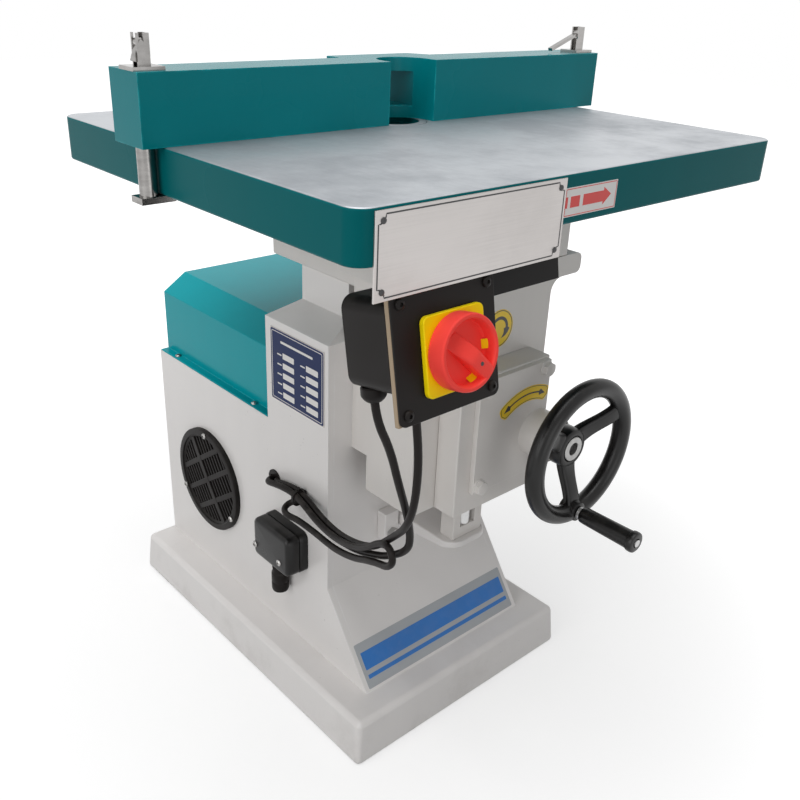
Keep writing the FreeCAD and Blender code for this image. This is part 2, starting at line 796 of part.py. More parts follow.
def way_outline(clearance):
    """The dovetail across the way, widened by a clearance on the knee's side."""
    root = s.way_root_width / 2 + clearance * 2
    face = s.way_face_width / 2 + clearance * 2
    deep = stand_face - s.way_depth - clearance
    return [(-root, stand_face), (root, stand_face), (face, deep), (-face, deep)]


def make_way():
    """Dovetail way on the column's front, from above the screw block to the shoulder."""
    node("slide_way", prism("way", "Z", way_outline(ZERO), (block_top, column_top)))


# Lifting gear

def make_gear_case():
    """Gear case on the knee's front, its cover with the shaft boss, and four hex bolts."""
    case_z = (knee_bottom, knee_bottom + s.case_height)
    cover_x = (case_x[0] + s.cover_left_margin, case_x[1] - s.cover_margin)
    cover_z = (case_z[0] + s.cover_low_margin, case_z[1] - s.overrun)
    shell = box("case_block", case_x, (case_face, knee_face), case_z)
    inside = box("case_inside", (case_x[0] + s.case_wall, case_x[1] - s.case_wall),
                 (case_face + s.case_wall, knee_face + s.overrun),
                 (case_z[0] + s.case_wall, case_z[1] - s.case_wall))
    window = box("case_window", (cover_x[0] + s.cover_lap, cover_x[1] - s.cover_lap),
                 (case_face - s.overrun, case_face + s.case_wall + s.overrun),
                 (cover_z[0] + s.cover_lap, cover_z[1] - s.cover_lap))
    node("gear_case", cut("case", shell, inside, window))
    plate = box("case_cover", cover_x, (cover_face, case_face), cover_z)
    boss = rod("case_boss", "Y", s.boss_radius, (boss_face, cover_face), (shaft_x, shaft_z))
    collar = rod("boss_collar", "Y", s.collar_radius, (boss_face - s.collar_length, boss_face),
                 (shaft_x, shaft_z))
    bore = rod("boss_bore", "Y", s.shaft_radius + s.running_clearance,
               (boss_face - s.collar_length - s.overrun, case_face + s.overrun), (shaft_x, shaft_z))
    node("gear_case_cover", cut("cover", fuse("cover_solid", plate, boss, collar), bore))
    bolts = []
    for across in (cover_x[0] + s.cover_bolt_inset, cover_x[1] - s.cover_bolt_inset):
        for up in (cover_z[0] + s.cover_bolt_inset, cover_z[1] - s.cover_bolt_inset):
            bolts.append(hexagon(f"cover_bolt{len(bolts)}", "Y", s.hex_flat,
                                 (cover_face - s.hex_height, cover_face), (across, up)))
    node("cover_bolts", group("case_bolts", bolts))


def toothed(name, axis, radius, span, centre, count):
    """A gear blank with round tooth gaps."""
    blank = rod(f"{name}_blank", axis, radius, span, centre)
    gaps = []
    for index in range(count):
        turn = 2 * math.pi * index / count
        spot = (centre[0] + radius * round(math.cos(turn), 6), centre[1] + radius * round(math.sin(turn), 6))
        gaps.append(rod(f"{name}_gap{index}", axis, s.tooth_radius,
                        (span[0] - s.overrun, span[1] + s.overrun), spot))
    return cut(name, blank, group(f"{name}_gaps", gaps))


def make_lift():
    """Lead screw on its stub, geared nut, slotted block, ledge and stop lug."""
    centre = (ZERO, screw_y)
    floor = ledge_top + s.slot_floor
    thread = rod("screw_thread", "Z", s.screw_radius,
                 (floor + s.screw_gap, nut_z[1] + s.lift_travel + s.screw_spare), centre)
    stub = rod("screw_stub", "Z", s.stub_radius, (floor - s.stub_sunk, floor + s.screw_gap), centre)
    node("lead_screw", fuse("screw", thread, stub))
    nut = toothed("nut_gear", "Z", s.nut_radius, nut_z, centre, NUT_TEETH)
    hole = rod("nut_hole", "Z", s.screw_radius + s.running_clearance,
               (nut_z[0] - s.overrun, nut_z[1] + s.overrun), centre)
    node("lift_nut", cut("nut", nut, hole))
    half = s.block_width / 2
    block_y = (screw_y - s.block_depth / 2, screw_y + s.block_depth / 2)
    block = box("block", (-half, half), block_y, (ledge_top, block_top))
    slot_half = s.screw_radius + s.slot_gap
    slot = box("block_slot", (-slot_half, slot_half), (block_y[0] - s.overrun, block_y[1] + s.overrun),
               (floor, block_top + s.overrun))
    socket = rod("stub_socket", "Z", s.stub_radius, (floor - s.stub_sunk, floor + s.overrun), centre)
    node("screw_block", cut("block_slotted", block, slot, socket))
    make_ledge()
    lug_x = (-half_stand + s.stop_lug_inset, -half_stand + s.stop_lug_inset + s.stop_lug_width)
    lug_z = (ledge_bottom - s.stop_lug_drop, ledge_bottom - s.stop_lug_drop + s.stop_lug_height)
    lug_y = (stand_face - s.stop_lug_depth, stand_face)
    middle_x = (lug_x[0] + lug_x[1]) / 2
    toe = lug_z[0] + s.stop_lug_width / 2
    lug = fuse("lug", box("lug_block", lug_x, lug_y, (toe, lug_z[1])),
               rod("lug_toe", "Y", s.stop_lug_width / 2, lug_y, (middle_x, toe)))
    node("stop_lug", lug)
    node("stop_bolt", hexagon("lug_bolt", "Y", s.hex_flat, (lug_y[0] - s.hex_height, lug_y[0]),
                              (middle_x, toe + s.stop_bolt_rise)))


def make_ledge():
    """Ledge on the column: a plate with rounded front corners, thinner towards its tip."""
    half = s.ledge_width / 2
    tip = knee_face - s.ledge_overhang
    slab = rounded("ledge_slab", "Z", (-half, half), (tip, stand_face + s.ledge_corner),
                   (ledge_bottom, ledge_top),
                   s.ledge_corner)
    below = prism("ledge_taper", "X", [(tip - s.overrun, ledge_bottom - s.overrun),
                                       (tip - s.overrun, ledge_top - s.ledge_tip),
                                       (stand_face - s.stop_lug_depth, ledge_bottom - s.overrun)],
                  (-half - s.overrun, half + s.overrun))
    behind = box("ledge_behind", (-half - s.overrun, half + s.overrun),
                 (stand_face, stand_face + s.ledge_corner + s.overrun),
                 (ledge_bottom - s.overrun, ledge_top + s.overrun))
    node("lift_ledge", cut("ledge", slab, below, behind))


def make_handwheel():
    """Dished handwheel with three spokes, its shaft with the pinion, hub insert, grip pin and grip."""
    centre = (shaft_x, shaft_z)
    rim = DOC.addObject("Part::Torus", "wheel_rim")
    bind(rim, "Radius1", s.wheel_diameter / 2 - s.rim_thickness / 2)
    bind(rim, "Radius2", s.rim_thickness / 2)
    place(rim, shaft_x, rim_plane, shaft_z, turn=TURNS["Y"])
    hub = rod("wheel_hub", "Y", s.hub_radius, (hub_face, hub_back), centre)
    inner = s.hub_insert_radius
    outer = s.wheel_diameter / 2 - s.rim_thickness
    half = s.spoke_depth / 2
    middle = (hub_face + hub_back) / 2
    arms = []
    for index, angle in enumerate(SPOKE_ANGLES):
        side = [(inner, middle + half), (inner, middle - half),
                (outer + half, rim_plane - half), (outer + half, rim_plane + half)]
        arm = prism(f"spoke{index}", "Z", side, (-s.spoke_width / 2, s.spoke_width / 2))
        arm.Placement = FreeCAD.Placement(FreeCAD.Vector(), FreeCAD.Rotation(UNITS["Y"], -angle))
        bind(arm, "Placement.Base.x", shaft_x)
        bind(arm, "Placement.Base.z", shaft_z)
        arms.append(arm)
    boss = rod("grip_boss", "Y", s.grip_collar_radius + s.overrun, (grip_root, rim_plane), grip_centre)
    bore = rod("wheel_bore", "Y", s.shaft_radius + s.running_clearance,
               (hub_face + s.hub_insert_sunk, hub_back + s.overrun), centre)
    seat = rod("insert_seat", "Y", s.hub_insert_radius,
               (hub_face - s.overrun, hub_face + s.hub_insert_sunk), centre)
    pin_hole = rod("pin_hole", "Y", s.grip_pin_radius, (grip_root - s.overrun, rim_plane), grip_centre)
    node("handwheel", cut("wheel", fuse("wheel_solid", rim, hub, boss, *arms), bore, seat, pin_hole))
    insert = rod("insert_disc", "Y", s.hub_insert_radius - s.running_clearance,
                 (hub_face - s.hub_insert_stand, hub_face + s.hub_insert_sunk), centre)
    eye = rod("insert_eye", "Y", s.hub_insert_bore,
              (hub_face - s.hub_insert_sunk, hub_face + s.hub_insert_sunk / 2),
              centre)
    node("hub_insert", cut("insert", insert, eye))
    pinion = toothed("pinion", "Y", pinion_radius, pinion_y, centre, PINION_TEETH)
    stem = rod("shaft_stem", "Y", s.shaft_radius,
               (hub_face + s.hub_insert_sunk, knee_face + s.cavity_depth + s.shaft_seat - s.free_gap), centre)
    node("handwheel_shaft", fuse("shaft", pinion, stem))
    pin = rod("pin", "Y", s.grip_pin_radius - s.running_clearance, (grip_end, rim_plane), grip_centre)
    collar = rod("pin_collar", "Y", s.grip_collar_radius, (grip_root - s.grip_collar_length, grip_root),
                 grip_centre)
    node("grip_pin", fuse("pin_solid", pin, collar))
    grip_start = grip_root - s.grip_collar_length - s.free_gap
    handle = DOC.addObject("Part::Cone", "grip_cone")
    bind(handle, "Radius1", s.grip_end_radius)
    bind(handle, "Radius2", s.grip_radius)
    bind(handle, "Height", s.grip_length)
    place(handle, grip_centre[0], grip_start - s.grip_length, grip_centre[1], turn=TURNS["Y"])
    hole = rod("grip_hole", "Y", s.grip_pin_radius, (grip_end - s.free_gap, grip_start + s.overrun),
               grip_centre)
    node("crank_grip", cut("grip", handle, hole))


# Fence and clamps

def make_fence():
    """Fence: a straight casting with a round pocket, a boss behind it and a dust window."""
    half = s.fence_length / 2
    length = (s.fence_shift - half, s.fence_shift + half)
    height = (fence_foot, fence_foot + s.fence_height)
    beam = box("fence_beam", length, (fence_face, fence_back), height)
    boss_x = (s.fence_shift - s.boss_width / 2, s.fence_shift + s.boss_width / 2)
    bulge = prism("fence_boss", "Z", [(boss_x[0], fence_back), (boss_x[0], fence_back + s.boss_depth),
                                      (boss_x[1], fence_back + s.boss_depth),
                                      (boss_x[1] + s.boss_taper, fence_back)], height)
    over = (height[0] - s.overrun, height[1] + s.overrun)
    round_y = fence_face + s.pocket_depth - s.pocket_radius
    pocket = rod("pocket_round", "Z", s.pocket_radius, over, (s.fence_shift, round_y))
    mouth = box("pocket_mouth", (s.fence_shift - s.pocket_radius, s.fence_shift + s.pocket_radius),
                (fence_face - s.overrun, round_y), over)
    window_x = s.fence_shift + s.window_shift
    sill = fence_foot + s.window_sill
    window = box("dust_window", (window_x - s.window_width / 2, window_x + s.window_width / 2),
                 (round_y, fence_back + s.boss_depth + s.overrun), (sill, sill + s.window_height))
    holes = [rod(f"post_hole{side}", "Z", s.post_radius + s.slide_clearance, over, (x, post_y))
             for side, x in enumerate(post_places)]
    node("fence", cut("fence_cast", fuse("fence_solid", beam, bulge), pocket, mouth, window, *holes))


def make_clamps():
    """Two posts with hook feet, two plates with an upright channel, the left one forked, and their levers."""
    posts = []
    plates = []
    half_channel = s.channel_width / 2
    for side, x in enumerate(post_places):
        stem = rod(f"post_stem{side}", "Z", s.post_radius, (foot_low, fence_foot + s.fence_height),
                   (x, post_y))
        heel = s.post_radius + s.foot_heel
        foot_x = (x - heel, x - heel + s.foot_length) if side == 0 else (x + heel - s.foot_length, x + heel)
        foot = box(f"post_foot{side}", foot_x, (post_y - s.foot_width / 2, post_y + s.foot_width / 2),
                   (foot_low, foot_low + s.foot_thickness))
        posts.append(fuse(f"post{side}", stem, foot))
        middle = clamp_places[side]
        plate = box(f"clamp_plate{side}",
                    (middle - s.clamp_plate_length / 2, middle + s.clamp_plate_length / 2),
                    (post_y - s.clamp_plate_width / 2, post_y + s.clamp_plate_width / 2), plate_z)
        channel_x = (middle - s.channel_depth / 2, middle + s.channel_depth / 2)
        outer = box(f"channel_block{side}", channel_x, (post_y - half_channel, post_y + half_channel),
                    (plate_z[1], channel_top))
        trough = box(f"channel_trough{side}", (channel_x[0] - s.overrun, channel_x[1] - s.channel_wall),
                     (post_y - half_channel + s.channel_wall, post_y + half_channel - s.channel_wall),
                     (plate_z[1], channel_top + s.overrun))
        eye = rod(f"channel_eye{side}", "X", s.channel_hole_radius, (middle, channel_x[1] + s.overrun),
                  (post_y, channel_top - s.channel_hole_drop))
        pivot = middle - s.lever_pivot_shift
        pin = rod(f"lever_pin{side}", "Y", s.lever_pin_radius, (post_y - half_channel, post_y + half_channel),
                  (pivot, lever_pivot))
        openings = [trough, eye]
        if side == 0:
            openings.append(box("channel_fork", (pivot - s.fork_gap / 2, pivot + s.fork_gap / 2),
                                (post_y - s.channel_width, post_y + s.channel_width),
                                (lever_pivot, channel_top + s.overrun)))
        plates.append(fuse(f"clamp{side}", plate, cut(f"channel{side}", outer, *openings), pin))
    node("clamp_posts", group("posts", posts))
    node("clamp_plates", group("plates", plates))
    make_lever("left", clamp_places[0], s.left_lever_reach, s.left_lever_drop)
    make_lever("right", clamp_places[1], s.right_lever_reach, s.right_lever_drop)


def make_lever(side, x, reach, drop):
    """Flat lever that hangs from the cross pin in a channel."""
    pivot = x - s.lever_pivot_shift
    half = s.channel_width / 2 - s.channel_wall - s.free_gap
    across = (post_y - half, post_y + half)
    length = math.hypot(reach.value, drop.value)
    lean_x = s.lever_thickness * (drop.value / length / 2)
    lean_z = s.lever_thickness * (reach.value / length / 2)
    bar = prism(f"{side}_lever_bar", "Y",
                [(pivot + lean_x, lever_pivot - lean_z), (pivot - lean_x, lever_pivot + lean_z),
                                           (pivot - reach - lean_x, lever_pivot - drop + lean_z),
                                           (pivot - reach + lean_x, lever_pivot - drop - lean_z)], across)
    ring = rod(f"{side}_lever_ring", "Y", s.lever_eye_radius, across, (pivot, lever_pivot))
    bore = rod(f"{side}_lever_bore", "Y", s.lever_pin_radius + s.running_clearance,
               (across[0] - s.overrun, across[1] + s.overrun), (pivot, lever_pivot))
    node(f"clamp_lever_{side}", cut(f"{side}_lever", fuse(f"{side}_lever_solid", bar, ring), bore))


# Covers, boxes and plates on the stand

def cover_profile(inset):
    """The motor cover across its length, a sheet thickness further in for its inside."""
    half = half_stand - s.cover_inset - inset
    top = s.cabinet_height + s.cover_height - inset
    shoulder = top - s.cover_chamfer_height
    shelf = half - s.cover_chamfer_width
    low = s.cabinet_height
    return [(-half, low), (half, low), (half, shoulder), (shelf, top), (-shelf, top), (-half, shoulder)]


def make_motor_cover():
    """Motor cover of folded sheet with a flange on each side, held by small screws."""
    near = step_back + s.free_gap
    far = s.stand_back - s.cover_back_inset
    outer = prism("hood_outer", "Y", cover_profile(ZERO), (near, far))
    inner = prism("hood_inner", "Y", cover_profile(s.sheet_thickness),
                  (near - s.overrun, far - s.sheet_thickness))
    flange_z = (s.cabinet_height, s.cabinet_height + s.sheet_thickness)
    flanges = [box("hood_flange_left", (-half_stand, -half_stand + s.cover_inset + s.sheet_thickness),
                   (near, far),
                   flange_z),
               box("hood_flange_right", (half_stand - s.cover_inset - s.sheet_thickness, half_stand),
                   (near, far),
                   flange_z)]
    floor = box("hood_floor_cut", (-half_stand + s.cover_inset + s.sheet_thickness,
                                   half_stand - s.cover_inset - s.sheet_thickness),
                (near - s.overrun, far - s.sheet_thickness),
                (s.cabinet_height - s.overrun, s.cabinet_height + s.sheet_thickness + s.overrun))
    node("motor_cover", cut("hood", fuse("hood_shell", cut("hood_sheet", outer, inner), *flanges), floor))


def make_vent():
    """Round vent grille: a ring with slats, three bars across them and one along, all turned as one."""
    outer = -half_stand - s.vent_depth
    face = (outer, -half_stand)
    ring = cut("vent_ring", rod("vent_disc", "X", s.vent_radius, face, (vent_y, vent_z)),
               rod("vent_eye", "X", s.vent_hole_radius, (outer - s.overrun, -half_stand + s.overrun),
                   (vent_y, vent_z)))
    lattice = []
    count = int(2 * s.vent_hole_radius.value / s.slat_pitch.value)
    for index in range(count):
        middle = vent_y + s.slat_pitch * (index - (count - 1) / 2)
        lattice.append(box(f"slat{index}", (outer, outer + s.slat_depth),
                           (middle - s.slat_width / 2, middle + s.slat_width / 2),
                           (vent_z - s.vent_radius, vent_z + s.vent_radius)))
    for index in range(3):
        middle = vent_z + s.vent_hole_radius * (index - 1) / 2
        lattice.append(box(f"cross_bar{index}", (outer, -half_stand),
                           (vent_y - s.vent_radius, vent_y + s.vent_radius),
                           (middle - s.bar_width / 2, middle + s.bar_width / 2)))
    lattice.append(box("upright_bar", (outer, -half_stand),
                       (vent_y - s.bar_width / 2, vent_y + s.bar_width / 2),
                       (vent_z - s.vent_radius, vent_z + s.vent_radius)))
    inside = rod("vent_inside", "X", (s.vent_radius + s.vent_hole_radius) / 2, face, (vent_y, vent_z))
    turned = group("vent_turned", [fuse("vent_lattice", *lattice)])
    turned.Placement = FreeCAD.Placement(FreeCAD.Vector(), FreeCAD.Rotation(UNITS["X"], -VENT_ANGLE),
                                         FreeCAD.Vector(0, vent_y.value, vent_z.value))
    node("vent_grille", fuse("vent", ring, common("vent_bars", turned, inside)))


def make_junction_box():
    """Junction box with rounded corners on the left side plate, its lid and a gland below."""
    outer = -half_stand - s.junction_depth
    node("junction_box",
         rounded("junction", "X", junction_y, junction_z, (outer, -half_stand), s.junction_corner))
    node("junction_lid", rounded("junction_cap", "X", junction_y, junction_z, (outer - s.junction_lid, outer),
                                 s.junction_corner))
    centre = (-half_stand - s.junction_depth / 2, junction_y[0] + s.gland_from_front)
    nut = hexagon("junction_nut", "Z", s.gland_nut, (junction_z[0] - s.gland_nut_length, junction_z[0]),
                  centre)
    stem = rod("junction_stem", "Z", s.gland_radius, (junction_z[0] - s.gland_length, junction_z[0]), centre)
    node("junction_gland", fuse("junction_entry", nut, stem))


def make_small_screws():
    """Pan head screws of the motor cover, the vent and the junction box lid."""
    heads = []
    top = s.cabinet_height + s.sheet_thickness
    middle_x = half_stand - s.cover_inset / 2 - s.sheet_thickness / 2
    for side in (-1, 1):
        for y in (step_back + s.cover_screw_inset, s.stand_back - s.cover_screw_inset):
            heads.append(rod(f"cover_screw{len(heads)}", "Z", s.small_screw_radius,
                             (top, top + s.small_screw_height), (middle_x * side, y)))
    outer = -half_stand - s.vent_depth
    reach = (s.vent_radius + s.vent_hole_radius) / 2
    for turn in (90, 210, 330):
        spot = (vent_y + reach * round(math.cos(math.radians(turn)), 6),
                vent_z + reach * round(math.sin(math.radians(turn)), 6))
        heads.append(rod(f"vent_screw{turn}", "X", s.small_screw_radius,
                         (outer - s.small_screw_height, outer), spot))
    lid = -half_stand - s.junction_depth - s.junction_lid
    level = junction_z[0] + s.lid_screw_rise
    for spot in ((junction_y[0] + s.lid_screw_front, level), (junction_y[1] - s.lid_screw_back, level)):
        heads.append(rod(f"lid_screw{len(heads)}", "X", s.small_screw_radius,
                         (lid - s.small_screw_height, lid), spot))
    node("casing_screws", group("small_screws", heads))


def make_plates():
    """Blank data plate on the stand and blank name plate on the table's front edge, with rivets."""
    data_y = (stand_face + s.data_plate_setback, stand_face + s.data_plate_setback + s.data_plate_width)
    data_z = (column_top - s.data_plate_drop - s.data_plate_height, column_top - s.data_plate_drop)
    node("data_plate", box("data", (-half_stand - s.sheet_thickness / 2, -half_stand), data_y, data_z))
    low = -s.table_length / 2 + s.name_plate_inset
    plate_x = (low, low + s.name_plate_width)
    plate_z = (table_top - s.name_plate_drop - s.name_plate_height, table_top - s.name_plate_drop)
    plate_y = (table_face - s.name_plate_thickness, table_face)
    node("name_plate", box("name_sheet", plate_x, plate_y, plate_z))
    heads = []
    for x in (plate_x[0] + s.rivet_inset, plate_x[1] - s.rivet_inset):
        for z in (plate_z[0] + s.rivet_inset, plate_z[1] - s.rivet_inset):
            heads.append(rod(f"rivet{len(heads)}", "Y", s.rivet_radius,
                             (plate_y[0] - s.rivet_height, plate_y[0]),
                             (x, z)))
    node("name_plate_rivets", group("rivets", heads))


# Switch unit

def make_switch():
    """Switch unit: bracket, box, backing plate, panel, square plate, screws, glands and knob."""
    panel_x = (-s.switch_left, -s.switch_left + s.panel_width)
    panel_z = (panel_top - s.panel_height, panel_top)
    node("switch_panel",
         tilted(rounded("panel", "Y", panel_x, panel_z, (panel_face, panel_back), s.panel_corner)))
    node("switch_backing", tilted(box("backing", panel_x, (panel_back, backing_back), panel_z)))
    box_y = (backing_back, backing_back + s.switch_box_depth)
    shell = rounded("switch_shell", "Y", box_x, box_z, box_y, s.switch_box_corner)
    wall = s.switch_box_wall
    inside = box("switch_inside", (box_x[0] + wall * 2, box_x[1] - wall * 2),
                 (box_y[0] - s.overrun, box_y[1] - wall), (box_z[0] + wall * 2, box_z[1] - wall * 2))
    node("switch_box", tilted(cut("switch_case", shell, inside)))
    middle_x = (panel_x[0] + panel_x[1]) / 2 + s.square_plate_shift
    middle_z = (panel_z[0] + panel_z[1]) / 2 - s.square_plate_drop
    half = s.square_plate / 2
    plate_face = panel_face - s.square_plate_thickness
    plate = rounded("square", "Y", (middle_x - half, middle_x + half), (middle_z - half, middle_z + half),
                    (plate_face, panel_face), s.square_plate_corner)
    eye = rod("square_eye", "Y", s.switch_shaft_radius + s.running_clearance,
              (plate_face - s.overrun, panel_face + s.overrun), (middle_x, middle_z))
    node("switch_plate", tilted(cut("square_holed", plate, eye)))
    heads = []
    for x in (panel_x[0] + s.panel_screw_inset, panel_x[1] - s.panel_screw_inset):
        for z in (panel_z[0] + s.panel_screw_inset, panel_z[1] - s.panel_screw_inset):
            heads.append(rod(f"panel_screw{len(heads)}", "Y", s.panel_screw_radius,
                             (panel_face - s.panel_screw_height, panel_face), (x, z)))
    node("panel_screws", tilted(group("panel_heads", heads)))
    glands = []
    for index, (x, y) in enumerate(gland_places):
        glands.append(hexagon(f"switch_nut{index}", "Z", s.switch_gland_radius * 2, gland_z, (x, y)))
    node("switch_glands", tilted(group("switch_nuts", glands)))
    knob_back = plate_face - s.free_gap
    knob_face = knob_back - s.knob_depth
    cup = rod("knob_cup", "Y", s.knob_radius, (knob_face, knob_back), (middle_x, middle_z))
    bowl = rod("knob_bowl", "Y", s.knob_radius - s.knob_wall,
               (knob_face - s.overrun, knob_back - s.knob_floor),
               (middle_x, middle_z))
    lean = math.radians(KNOB_BAR_ANGLE)
    along_x = s.knob_radius * round(math.cos(lean), 6)
    along_z = s.knob_radius * round(math.sin(lean), 6)
    across_x = s.knob_grip_width * round(math.sin(lean) / 2, 6)
    across_z = s.knob_grip_width * round(math.cos(lean) / 2, 6)
    bar = prism("knob_bar", "Y", [(middle_x - along_x - across_x, middle_z + along_z - across_z),
                                  (middle_x - along_x + across_x, middle_z + along_z + across_z),
                                  (middle_x + along_x + across_x, middle_z - along_z + across_z),
                                  (middle_x + along_x - across_x, middle_z - along_z - across_z)],
                (knob_face, knob_back - s.knob_floor))
    trim = rod("knob_trim", "Y", s.knob_radius - s.knob_wall / 2, (knob_face, knob_back),
               (middle_x, middle_z))
    stub = rod("knob_stub", "Y", s.switch_shaft_radius, (knob_back, panel_face), (middle_x, middle_z))
    node("switch_knob",
         tilted(fuse("knob", cut("knob_shell", cup, bowl), common("knob_rib", bar, trim), stub)))
    leg_x = (box_x[1] + s.free_gap, box_x[1] + s.free_gap + s.bracket_reach)
    leg = tilted(box("bracket_leg", leg_x, (backing_back, backing_back + s.bracket_thickness),
                     (table_bottom - s.bracket_height, table_bottom - s.bracket_thickness / 2)))
    flange = box("bracket_top", leg_x, (backing_back, backing_back + s.bracket_flange),
                 (table_bottom - s.bracket_thickness, table_bottom))
    node("switch_bracket", fuse("bracket", flange, leg))


# Cables

BUNDLE_SHARES = [(-0.007, -0.031, 0.0), (0.029, 0.073, -0.007), (0.095, 0.223, -0.025),
                 (0.176, 0.397, -0.009),
                 (0.256, 0.561, 0.043), (0.321, 0.693, 0.107), (0.37, 0.798, 0.163)]
FIRST_SHARES = [(0.813, 1.01, 0.788), (0.679, 1.003, 0.631), (0.519, 0.986, 0.485), (0.376, 0.958, 0.346),
                (0.349, 0.941, 0.25)]
SECOND_SHARES = [(0.907, 1.014, 0.759), (0.894, 1.011, 0.625), (0.867, 0.988, 0.505), (0.814, 0.938, 0.406),
                 (0.628, 0.856, 0.321)]
LIFTED_LEVEL_SHARE = 2.45
RUN_SHARE = 0.45
ENTRY_SHARE = 0.45
NEAR_SHARE = 8


def between(start, end, shares):
    """A point between two points, with its own share of the way for each axis."""
    return FreeCAD.Vector(*(low + (high - low) * share for low, high, share in zip(start, end, shares)))


def gland_end(place):
    """The middle of a switch gland's lower face and a point straight below it."""
    spin = FreeCAD.Rotation(UNITS["X"], -s.switch_tilt.value)
    pivot = FreeCAD.Vector(0, panel_face.value, panel_top.value)
    lean = FreeCAD.Placement(FreeCAD.Vector(), spin, pivot)
    foot = FreeCAD.Vector(place[0].value, place[1].value, gland_z[0].value)
    return lean.multVec(foot), lean.multVec(foot - UNITS["Z"] * s.gland_run.value)


def strand(centres, side, level):
    """Points of one strand beside the bundle's middle line; side and level count half pitches."""
    half = strand_pitch / 2
    points = []
    for index, centre in enumerate(centres):
        ahead = centres[min(index + 1, len(centres) - 1)] - centres[max(index - 1, 0)]
        up = FreeCAD.Vector(0, ahead.z, -ahead.y).normalize()
        points.append(centre + UNITS["X"] * (side * half) + up * (level * half))
    return points


def rounded_path(points):
    """Straight runs joined by tangent arcs, with the radii of the arcs."""
    edges = []
    radii = []
    start = points[0]
    for before, corner, after in zip(points, points[1:], points[2:]):
        arriving = (corner - before).normalize()
        leaving = (after - corner).normalize()
        cutback = RUN_SHARE * min((corner - before).Length, (after - corner).Length)
        entry = corner - arriving * cutback
        leave = corner + leaving * cutback
        half_turn = arriving.getAngle(leaving) / 2
        radius = cutback / math.tan(half_turn)
        inward = (leaving - arriving).normalize()
        middle = corner + inward * (radius / math.cos(half_turn) - radius)
        edges.append(Part.LineSegment(start, entry).toShape())
        edges.append(Part.Arc(entry, middle, leave).toShape())
        radii.append(radius)
        start = leave
    edges.append(Part.LineSegment(start, points[-1]).toShape())
    return Part.Wire(edges), radii


def cable(label, points):
    """A round cable along a rounded path."""
    path, radii = rounded_path(points)
    ring = Part.Circle(points[0], points[1] - points[0], s.cable_radius.value).toShape()
    sweep = Part.BRepOffsetAPI.MakePipeShell(path)
    sweep.add(Part.Wire([ring]), False, False)
    sweep.build()
    sweep.makeSolid()
    tube = DOC.addObject("Part::Feature", label + "_tube")
    tube.Shape = sweep.shape()
    plain = math.pi * s.cable_radius.value ** 2 * path.Length
    print(label, "length", round(path.Length), "smallest radius", round(min(radii), 1),
          "volume share", round(tube.Shape.Volume / plain, 4))
    node(label, tube)
    return path


def cable_gap(path, other=None):
    """The least clear distance between two cables, or between far strands of one cable."""
    step = s.cable_radius.value
    near = step * NEAR_SHARE
    points = path.discretize(Distance=step)
    others = other.discretize(Distance=step) if other else points
    least = None
    for index, point in enumerate(points):
        for place, spot in enumerate(others):
            if other is None and abs(index - place) * step < near:
                continue
            gap = (point - spot).Length
            least = gap if least is None else min(least, gap)
    return least - 2 * s.cable_radius.value


def make_cables():
    """Two cables from the switch to the stand, one of them folded, with their tie and grommet."""
    half = strand_pitch / 2
    tie = FreeCAD.Vector(tie_centre[0].value, tie_centre[1].value, tie_centre[2].value)
    first_foot, first_below = gland_end(gland_places[0])
    second_foot, second_below = gland_end(gland_places[1])
    centres = [between(tie, first_foot, share) for share in BUNDLE_SHARES]
    low_in = strand(centres, 1, -1)
    low_out = strand(centres, -1, -1)
    high_in = strand(centres, 1, 1)
    high_out = strand(centres, -1, 1)
    ahead = (centres[-1] - centres[-2]).normalize()
    turn_low = strand(centres, -1, -s.fold_width.value / strand_pitch)[-1]
    turn_high = strand(centres, -1, s.fold_width.value / strand_pitch)[-1]
    reach = ahead * s.turn_reach.value
    inner_x = tie.x + half
    outer_high = tie.x - half
    outer_x = inner_x - s.fold_width.value
    fold_y = tie.y + s.fold_reach.value
    fold_z = low_in[0].z - s.fold_drop.value
    fold = [FreeCAD.Vector(inner_x, fold_y, fold_z), FreeCAD.Vector(outer_x, fold_y, fold_z),
            FreeCAD.Vector(outer_x, tie.y + s.fold_lead.value, fold_z + s.fold_rise.value)]
    first = [first_foot, first_below] + [between(tie, first_foot, share) for share in FIRST_SHARES]
    first += low_in[::-1] + fold + low_out[:-1] + [turn_low, turn_low + reach, turn_high + reach, turn_high]
    first += high_out[-2::-1] + entry(outer_high, grommet_y.value + half)
    second = [second_foot, second_below] + [between(tie, second_foot, share) for share in SECOND_SHARES]
    second += [strand(centres, 1, LIFTED_LEVEL_SHARE)[-1]] + high_in[-2::-1]
    second += entry(inner_x, grommet_y.value - half)
    first_path = cable("switch_cable", first)
    second_path = cable("supply_cable", second)
    print("gap of the first cable to itself", round(cable_gap(first_path), 2),
          "between the cables", round(cable_gap(first_path, second_path), 2))
    make_tie()
    make_grommet()


def entry(x, y):
    """The bend of a strand into its bore in the stand."""
    inside = -inner_half.value
    level = grommet_z.value
    run = ENTRY_SHARE * (y - tie_centre[1].value)
    return [FreeCAD.Vector(x, y - run, level + s.entry_drop.value), FreeCAD.Vector(x, y, level),
            FreeCAD.Vector(inside, y, level)]


def make_tie():
    """Cable tie: a square band round the bundle, flat against the side plate."""
    x, y, z = tie_centre
    outer = tie_half + s.tie_thickness
    across = (y - s.tie_width / 2, y + s.tie_width / 2)
    band = box("tie_block", (x - outer, x + outer), across, (z - outer, z + outer))
    window = box("tie_window", (x - tie_half, x + tie_half), (across[0] - s.overrun, across[1] + s.overrun),
                 (z - tie_half, z + tie_half))
    node("cable_tie", cut("tie", band, window))


